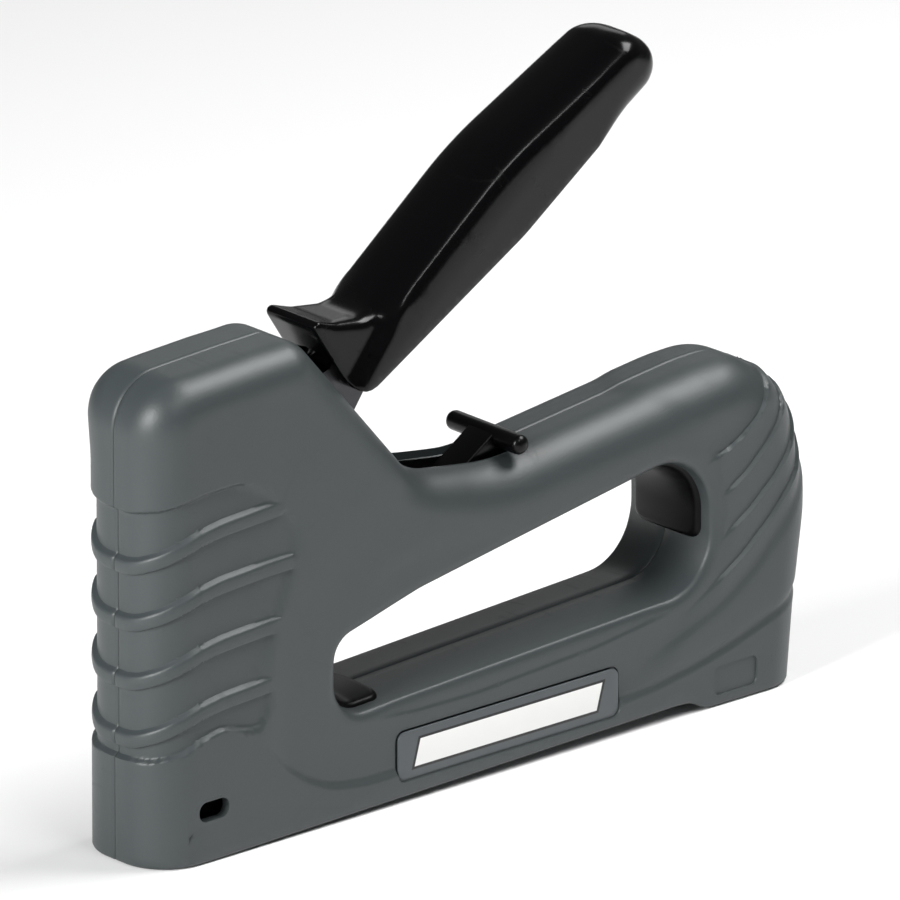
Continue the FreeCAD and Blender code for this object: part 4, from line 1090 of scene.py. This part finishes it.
def moulded_grain():
    """Fine spark-eroded grain of moulded plastic, with slow drifts of colour and gloss."""
    tree, given, result = group_tree("moulded_grain", [
        ("Colour", COLOR, (0.1, 0.1, 0.1, 1)), ("Grain Scale", FLOAT, 2600.0), ("Drift", FLOAT, 0.05),
        ("Roughness", FLOAT, 0.5), ("Roughness Drift", FLOAT, 0.06)],
        [("Colour", COLOR), ("Roughness", FLOAT), ("Height", FLOAT)])
    link = tree.links.new
    place = add(tree, "ShaderNodeTexCoord")
    fine = add(tree, "ShaderNodeTexNoise", Detail=3.0, Roughness=0.65)
    link(place.outputs["Object"], fine.inputs["Vector"])
    link(given.outputs["Grain Scale"], fine.inputs["Scale"])
    slow = add(tree, "ShaderNodeTexNoise", Scale=38.0, Detail=4.0, Roughness=0.55)
    link(place.outputs["Object"], slow.inputs["Vector"])
    mixed = add(tree, "ShaderNodeMath", operation="MULTIPLY_ADD", _1=0.55)
    link(slow.outputs["Fac"], mixed.inputs[0])
    half = add(tree, "ShaderNodeMath", operation="MULTIPLY", _1=0.45)
    link(fine.outputs["Fac"], half.inputs[0])
    link(half.outputs[0], mixed.inputs[2])
    lean = add(tree, "ShaderNodeMath", operation="SUBTRACT", _1=0.5)
    link(mixed.outputs[0], lean.inputs[0])
    amount = add(tree, "ShaderNodeMath", operation="MULTIPLY_ADD", _2=1.0)
    link(lean.outputs[0], amount.inputs[0])
    link(given.outputs["Drift"], amount.inputs[1])
    tone = add(tree, "ShaderNodeVectorMath", operation="SCALE")
    link(given.outputs["Colour"], tone.inputs[0])
    link(amount.outputs[0], tone.inputs["Scale"])
    link(tone.outputs[0], result.inputs["Colour"])
    rough = add(tree, "ShaderNodeMath", operation="MULTIPLY_ADD")
    link(lean.outputs[0], rough.inputs[0])
    link(given.outputs["Roughness Drift"], rough.inputs[1])
    link(given.outputs["Roughness"], rough.inputs[2])
    link(rough.outputs[0], result.inputs["Roughness"])
    link(fine.outputs["Fac"], result.inputs["Height"])
    return tree


def hairline_scratches():
    """Sparse hairlines in two directions, as a mask from 0 to 1."""
    tree, given, result = group_tree("hairline_scratches", [
        ("Scale", FLOAT, 60.0), ("Amount", FLOAT, 0.5)], [("Mask", FLOAT)])
    link = tree.links.new
    place = add(tree, "ShaderNodeTexCoord")
    masks = []
    for turn in (0.4, 2.1):
        turned = add(tree, "ShaderNodeMapping")
        turned.inputs["Rotation"].default_value = (turn, turn * 0.7, turn * 1.3)
        turned.inputs["Scale"].default_value = (1.0, 0.04, 1.0)
        link(place.outputs["Object"], turned.inputs["Vector"])
        lines = add(tree, "ShaderNodeTexVoronoi", feature="DISTANCE_TO_EDGE")
        link(turned.outputs[0], lines.inputs["Vector"])
        link(given.outputs["Scale"], lines.inputs["Scale"])
        thin = add(tree, "ShaderNodeMath", operation="LESS_THAN", _1=0.012)
        link(lines.outputs["Distance"], thin.inputs[0])
        masks.append(thin)
    both = add(tree, "ShaderNodeMath", operation="MAXIMUM")
    link(masks[0].outputs[0], both.inputs[0])
    link(masks[1].outputs[0], both.inputs[1])
    patchy = add(tree, "ShaderNodeTexNoise", Scale=90.0, Detail=2.0)
    link(place.outputs["Object"], patchy.inputs["Vector"])
    gate = add(tree, "ShaderNodeMath", operation="GREATER_THAN", _1=0.58)
    link(patchy.outputs["Fac"], gate.inputs[0])
    kept = add(tree, "ShaderNodeMath", operation="MULTIPLY")
    link(both.outputs[0], kept.inputs[0])
    link(gate.outputs[0], kept.inputs[1])
    strength = add(tree, "ShaderNodeMath", operation="MULTIPLY")
    link(kept.outputs[0], strength.inputs[0])
    link(given.outputs["Amount"], strength.inputs[1])
    link(strength.outputs[0], result.inputs["Mask"])
    return tree


def drawn_steel():
    """Streaks left by rolling or drawing, along X, with cloudy plating."""
    tree, given, result = group_tree("drawn_steel", [
        ("Colour", COLOR, (0.6, 0.6, 0.6, 1)), ("Streak Scale", FLOAT, 900.0), ("Roughness", FLOAT, 0.3),
        ("Cloud", FLOAT, 0.12)], [("Colour", COLOR), ("Roughness", FLOAT), ("Height", FLOAT)])
    link = tree.links.new
    place = add(tree, "ShaderNodeTexCoord")
    stretched = add(tree, "ShaderNodeMapping")
    stretched.inputs["Scale"].default_value = (0.03, 1.0, 1.0)
    link(place.outputs["Object"], stretched.inputs["Vector"])
    streak = add(tree, "ShaderNodeTexNoise", Detail=3.0, Roughness=0.6)
    link(stretched.outputs[0], streak.inputs["Vector"])
    link(given.outputs["Streak Scale"], streak.inputs["Scale"])
    cloud = add(tree, "ShaderNodeTexNoise", Scale=140.0, Detail=5.0, Roughness=0.6)
    link(place.outputs["Object"], cloud.inputs["Vector"])
    lean = add(tree, "ShaderNodeMath", operation="SUBTRACT", _1=0.5)
    link(cloud.outputs["Fac"], lean.inputs[0])
    amount = add(tree, "ShaderNodeMath", operation="MULTIPLY_ADD", _2=1.0)
    link(lean.outputs[0], amount.inputs[0])
    link(given.outputs["Cloud"], amount.inputs[1])
    tone = add(tree, "ShaderNodeVectorMath", operation="SCALE")
    link(given.outputs["Colour"], tone.inputs[0])
    link(amount.outputs[0], tone.inputs["Scale"])
    link(tone.outputs[0], result.inputs["Colour"])
    rough = add(tree, "ShaderNodeMath", operation="MULTIPLY_ADD", _1=0.18)
    link(streak.outputs["Fac"], rough.inputs[0])
    link(given.outputs["Roughness"], rough.inputs[2])
    link(rough.outputs[0], result.inputs["Roughness"])
    link(streak.outputs["Fac"], result.inputs["Height"])
    return tree


GRAIN, SCRATCHES, DRAWN = moulded_grain(), hairline_scratches(), drawn_steel()


# ------------------------------------------------------------------ materials

def linear(red, green, blue):
    """Screen colour, each part from 0 to 255, as scene light."""
    return tuple(((c / 255 + 0.055) / 1.055) ** 2.4 if c > 10
                 else c / 255 / 12.92 for c in (red, green, blue)) + (1,)


def material(name, **surface):
    made = bpy.data.materials.new(name)
    made.use_nodes = True
    tree = made.node_tree
    shader = tree.nodes["Principled BSDF"]
    for socket, value in surface.items():
        shader.inputs[socket.replace("_", " ")].default_value = value
    return made, tree, shader


def place_group(tree, group, **values):
    node = tree.nodes.new("ShaderNodeGroup")
    node.node_tree = group
    for socket, value in values.items():
        node.inputs[socket.replace("_", " ")].default_value = value
    return node


def bump(tree, shader, height, strength, distance):
    node = add(tree, "ShaderNodeBump", Strength=strength, Distance=distance)
    tree.links.new(height, node.inputs["Height"])
    tree.links.new(node.outputs["Normal"], shader.inputs["Normal"])
    return node


def plastic(name, colour, roughness, grain_scale, grain_deep, drift=0.10, scratches=0.0, **surface):
    """Moulded plastic: grain, drifts of colour and gloss, and a few hairlines."""
    made, tree, shader = material(name, **surface)
    grain = place_group(tree, GRAIN, Colour=colour, Grain_Scale=grain_scale, Drift=drift, Roughness=roughness)
    tree.links.new(grain.outputs["Colour"], shader.inputs["Base Color"])
    if scratches:
        marks = place_group(tree, SCRATCHES, Scale=55.0, Amount=scratches)
        worn = add(tree, "ShaderNodeMath", operation="ADD")
        tree.links.new(grain.outputs["Roughness"], worn.inputs[0])
        tree.links.new(marks.outputs["Mask"], worn.inputs[1])
        tree.links.new(worn.outputs[0], shader.inputs["Roughness"])
    else:
        tree.links.new(grain.outputs["Roughness"], shader.inputs["Roughness"])
    bump(tree, shader, grain.outputs["Height"], 0.5, grain_deep)
    return made


def steel(name, colour, roughness, streak_scale=900.0, cloud=0.15, deep=0.00001):
    made, tree, shader = material(name, Metallic=1.0)
    drawn = place_group(tree, DRAWN, Colour=colour,
                        Streak_Scale=streak_scale, Roughness=roughness, Cloud=cloud)
    tree.links.new(drawn.outputs["Colour"], shader.inputs["Base Color"])
    tree.links.new(drawn.outputs["Roughness"], shader.inputs["Roughness"])
    bump(tree, shader, drawn.outputs["Height"], 0.4, deep)
    return made


body_plastic = plastic("grey_satin_plastic", linear(56, 62, 63), 0.44, 2400.0, 0.00009, drift=0.16,
                       scratches=0.05, Specular_IOR_Level=0.5)
lever_plastic = plastic("black_gloss_plastic", linear(4, 4, 5), 0.19, 1500.0, 0.000012, drift=0.3,
                        scratches=0.08, Specular_IOR_Level=0.2)
lock_plastic = plastic("black_lock_plastic", linear(5, 5, 6), 0.28, 1800.0, 0.00002, drift=0.3,
                       Specular_IOR_Level=0.2)
pad_plastic = plastic("black_insert_plastic", linear(4, 4, 5), 0.36, 2200.0, 0.00004, drift=0.3,
                      Specular_IOR_Level=0.12)
latch_plastic = plastic("black_latch_plastic", linear(22, 22, 23), 0.38, 2200.0, 0.00003, drift=0.3)
washer_plastic = plastic("grey_washer_nylon", linear(58, 60, 62), 0.42, 1800.0, 0.00002)
bumper_rubber = plastic("black_bumper_rubber", linear(24, 24, 24), 0.72, 1200.0, 0.00008, drift=0.4)
zinc_steel = steel("zinc_plated_steel", linear(196, 198, 200), 0.24)
pin_steel = steel("ground_pin_steel", linear(186, 188, 190), 0.16, streak_scale=1500.0, cloud=0.06)
screw_steel = steel("black_oxide_screw_steel", linear(74, 74, 76), 0.34, cloud=0.3)
spring_steel = steel("oiled_spring_steel", linear(140, 140, 142), 0.26, cloud=0.25)
staple_wire = steel("galvanised_staple_wire", linear(200, 201, 203), 0.30, streak_scale=2200.0)


def badge_finish():
    """Blank plate: a plain pale slanted bar with a dark rim on grey, no lettering."""
    made, tree, shader = material("blank_badge_print")
    link = tree.links.new
    grain = place_group(tree, GRAIN, Colour=linear(72, 77, 80),
                        Grain_Scale=2600.0, Drift=0.12, Roughness=0.36)
    place = add(tree, "ShaderNodeTexCoord")
    parts = add(tree, "ShaderNodeSeparateXYZ")
    link(place.outputs["Object"], parts.inputs[0])

    def math_node(operation, first, second):
        node = add(tree, "ShaderNodeMath", operation=operation)
        for socket, value in zip(node.inputs, (first, second)):
            if hasattr(value, "links"):
                link(value, socket)
            else:
                socket.default_value = value
        return node.outputs[0]

    middle_x, middle_z = (BADGE[0] + BADGE[2]) / 2 + NOSE_X, (BADGE[1] + BADGE[3]) / 2
    lean = math_node("MULTIPLY", math_node("SUBTRACT", parts.outputs["Z"], middle_z * MM), 0.28)
    across = math_node("ABSOLUTE", math_node(
        "SUBTRACT", math_node("SUBTRACT", parts.outputs["X"], lean), middle_x * MM), 0.0)
    up = math_node("ABSOLUTE", math_node("SUBTRACT", parts.outputs["Z"], middle_z * MM), 0.0)

    def bar(half_x, half_z):
        return math_node("MULTIPLY", math_node("LESS_THAN", across, half_x * MM),
                         math_node("LESS_THAN", up, half_z * MM))

    dark = add(tree, "ShaderNodeMix", data_type="RGBA")
    link(bar(26.6, 3.6), dark.inputs["Factor"])
    link(grain.outputs["Colour"], dark.inputs[6])
    dark.inputs[7].default_value = linear(18, 18, 19)
    pale = add(tree, "ShaderNodeMix", data_type="RGBA")
    link(bar(25.9, 3.0), pale.inputs["Factor"])
    link(dark.outputs[2], pale.inputs[6])
    pale.inputs[7].default_value = linear(236, 236, 234)
    link(pale.outputs[2], shader.inputs["Base Color"])
    link(grain.outputs["Roughness"], shader.inputs["Roughness"])
    bump(tree, shader, grain.outputs["Height"], 0.4, 0.00002)
    return made


badge_plate = badge_finish()
screws = shell_screws(screw_steel)


def dress(thing, finish):
    thing.data.materials.clear()
    thing.data.materials.append(finish)


# ------------------------------------------------------------------ pieces take the place of CAD nodes

for thing, body, node, slot, finish in (
        (left_body, "body", "left_shell", "body_plastic", body_plastic),
        (right_body, "body", "right_shell", "body_plastic", body_plastic),
        (lever_shell, "lever", "lever_cover", "lever_plastic", lever_plastic),
        (front_pad, "body", "front_finger_pad", "pad_plastic", pad_plastic),
        (rear_pad, "body", "rear_finger_pad", "pad_plastic", pad_plastic),
        (badges["left_badge"], "body", "left_badge", "badge_plate", badge_plate),
        (badges["right_badge"], "body", "right_badge", "badge_plate", badge_plate),
        (lock, "lock", "lock_bar", "lock_plastic", lock_plastic),
        (screws, "body", "shell_screws", "screw_steel", screw_steel)):
    dress(thing, finish)
    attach(thing, body)
    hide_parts(node)

CARRIED = {
    "zinc_steel": (zinc_steel, ["plunger", "nose_plate", "plunger_guide", "spring_cap",
                                "magazine_channel", "magazine_tray", "staple_pusher"]),
    "blackened_steel": (screw_steel, ["lever_arm"]),
    "pin_steel": (pin_steel, ["lever_pin", "cover_pins", "lock_pin", "guide_rod", "blade_rivet"]),
    "spring_steel": (spring_steel, ["driver_blade", "return_spring", "power_spring", "pusher_spring"]),
    "staple_wire": (staple_wire, ["staple_strip"]),
    "washer_plastic": (washer_plastic, ["pivot_washer_left", "pivot_washer_right"]),
    "bumper_rubber": (bumper_rubber, ["bumper"]),
    "latch_plastic": (latch_plastic, ["tray_end_cap", "latch_button"]),
}
for finish, names in CARRIED.values():
    for name in names:
        dress(nodes[name], finish)


# ------------------------------------------------------------------ floor, light and camera

def floor():
    """Pale floor with a faint change of tone."""
    mesh = bpy.data.meshes.new("studio_floor")
    bm = bmesh.new()
    bmesh.ops.create_grid(bm, x_segments=1, y_segments=1, size=6.0)
    bm.to_mesh(mesh)
    bm.free()
    thing = bpy.data.objects.new("studio_floor", mesh)
    thing.location.z = -0.0002
    collection.objects.link(thing)
    made, tree, shader = material("pale_floor_paint", Roughness=0.9)
    cloud = add(tree, "ShaderNodeTexNoise", Scale=3.0, Detail=2.0)
    place = add(tree, "ShaderNodeTexCoord")
    tree.links.new(place.outputs["Object"], cloud.inputs["Vector"])
    tone = add(tree, "ShaderNodeMix", data_type="RGBA")
    tree.links.new(cloud.outputs["Fac"], tone.inputs["Factor"])
    tone.inputs[6].default_value = (0.88, 0.88, 0.88, 1)
    tone.inputs[7].default_value = (0.91, 0.91, 0.91, 1)
    tree.links.new(tone.outputs[2], shader.inputs["Base Color"])
    mesh.materials.append(made)


def soft_box(name, place, aim, width, height, power, turn=0.0):
    light = bpy.data.lights.new(name, "AREA")
    light.shape = "RECTANGLE"
    light.size, light.size_y, light.energy = width, height, power
    thing = bpy.data.objects.new(name, light)
    thing.location = place
    facing = (Vector(aim) - Vector(place)).to_track_quat("-Z", "Y")
    thing.rotation_euler = (facing @ Quaternion((0, 0, 1), math.radians(turn))).to_euler()
    collection.objects.link(thing)


def studio():
    world = bpy.data.worlds.new("studio_air")
    bpy.context.scene.world = world
    world.use_nodes = True
    sky = world.node_tree.nodes["Background"]
    sky.inputs["Color"].default_value = (1, 1, 1, 1)
    sky.inputs["Strength"].default_value = 0.10
    middle = (0, 0, 0.07)
    soft_box("overhead_soft_box", (0.5, -0.2, 0.9), middle, 0.6, 0.40, 10.0)
    soft_box("left_soft_box", (-1.2, -0.15, 0.6), middle, 0.35, 0.6, 21.0)
    soft_box("far_soft_box", (0.9, 1.0, 0.6), middle, 0.6, 0.4, 0.8)
    soft_box("shoulder_strip_light", (-0.105, -0.70, 0.95), (0, 0, 0.12), 0.42, 0.08, 1.9, turn=29.0)


CAMERA_TURN = math.radians(41.4)
CAMERA_LIFT = math.radians(19.8)
CAMERA_FAR = 6.0
VIEW_WIDE = 0.1915
VIEW_MIDDLE = Vector((0.0004, 0.0, 0.0697))


def camera():
    back = Vector((-math.sin(CAMERA_TURN) * math.cos(CAMERA_LIFT),
                   -math.cos(CAMERA_TURN) * math.cos(CAMERA_LIFT),
                   math.sin(CAMERA_LIFT)))
    lens = bpy.data.cameras.new("camera")
    lens.sensor_width = 36
    lens.lens = 36 * CAMERA_FAR / VIEW_WIDE
    lens.clip_end = 50
    thing = bpy.data.objects.new("camera", lens)
    thing.location = VIEW_MIDDLE + back * CAMERA_FAR
    thing.rotation_euler = (-back).to_track_quat("-Z", "Y").to_euler()
    collection.objects.link(thing)
    bpy.context.scene.camera = thing


floor()
studio()
camera()
bpy.context.scene.view_settings.view_transform = "Standard"
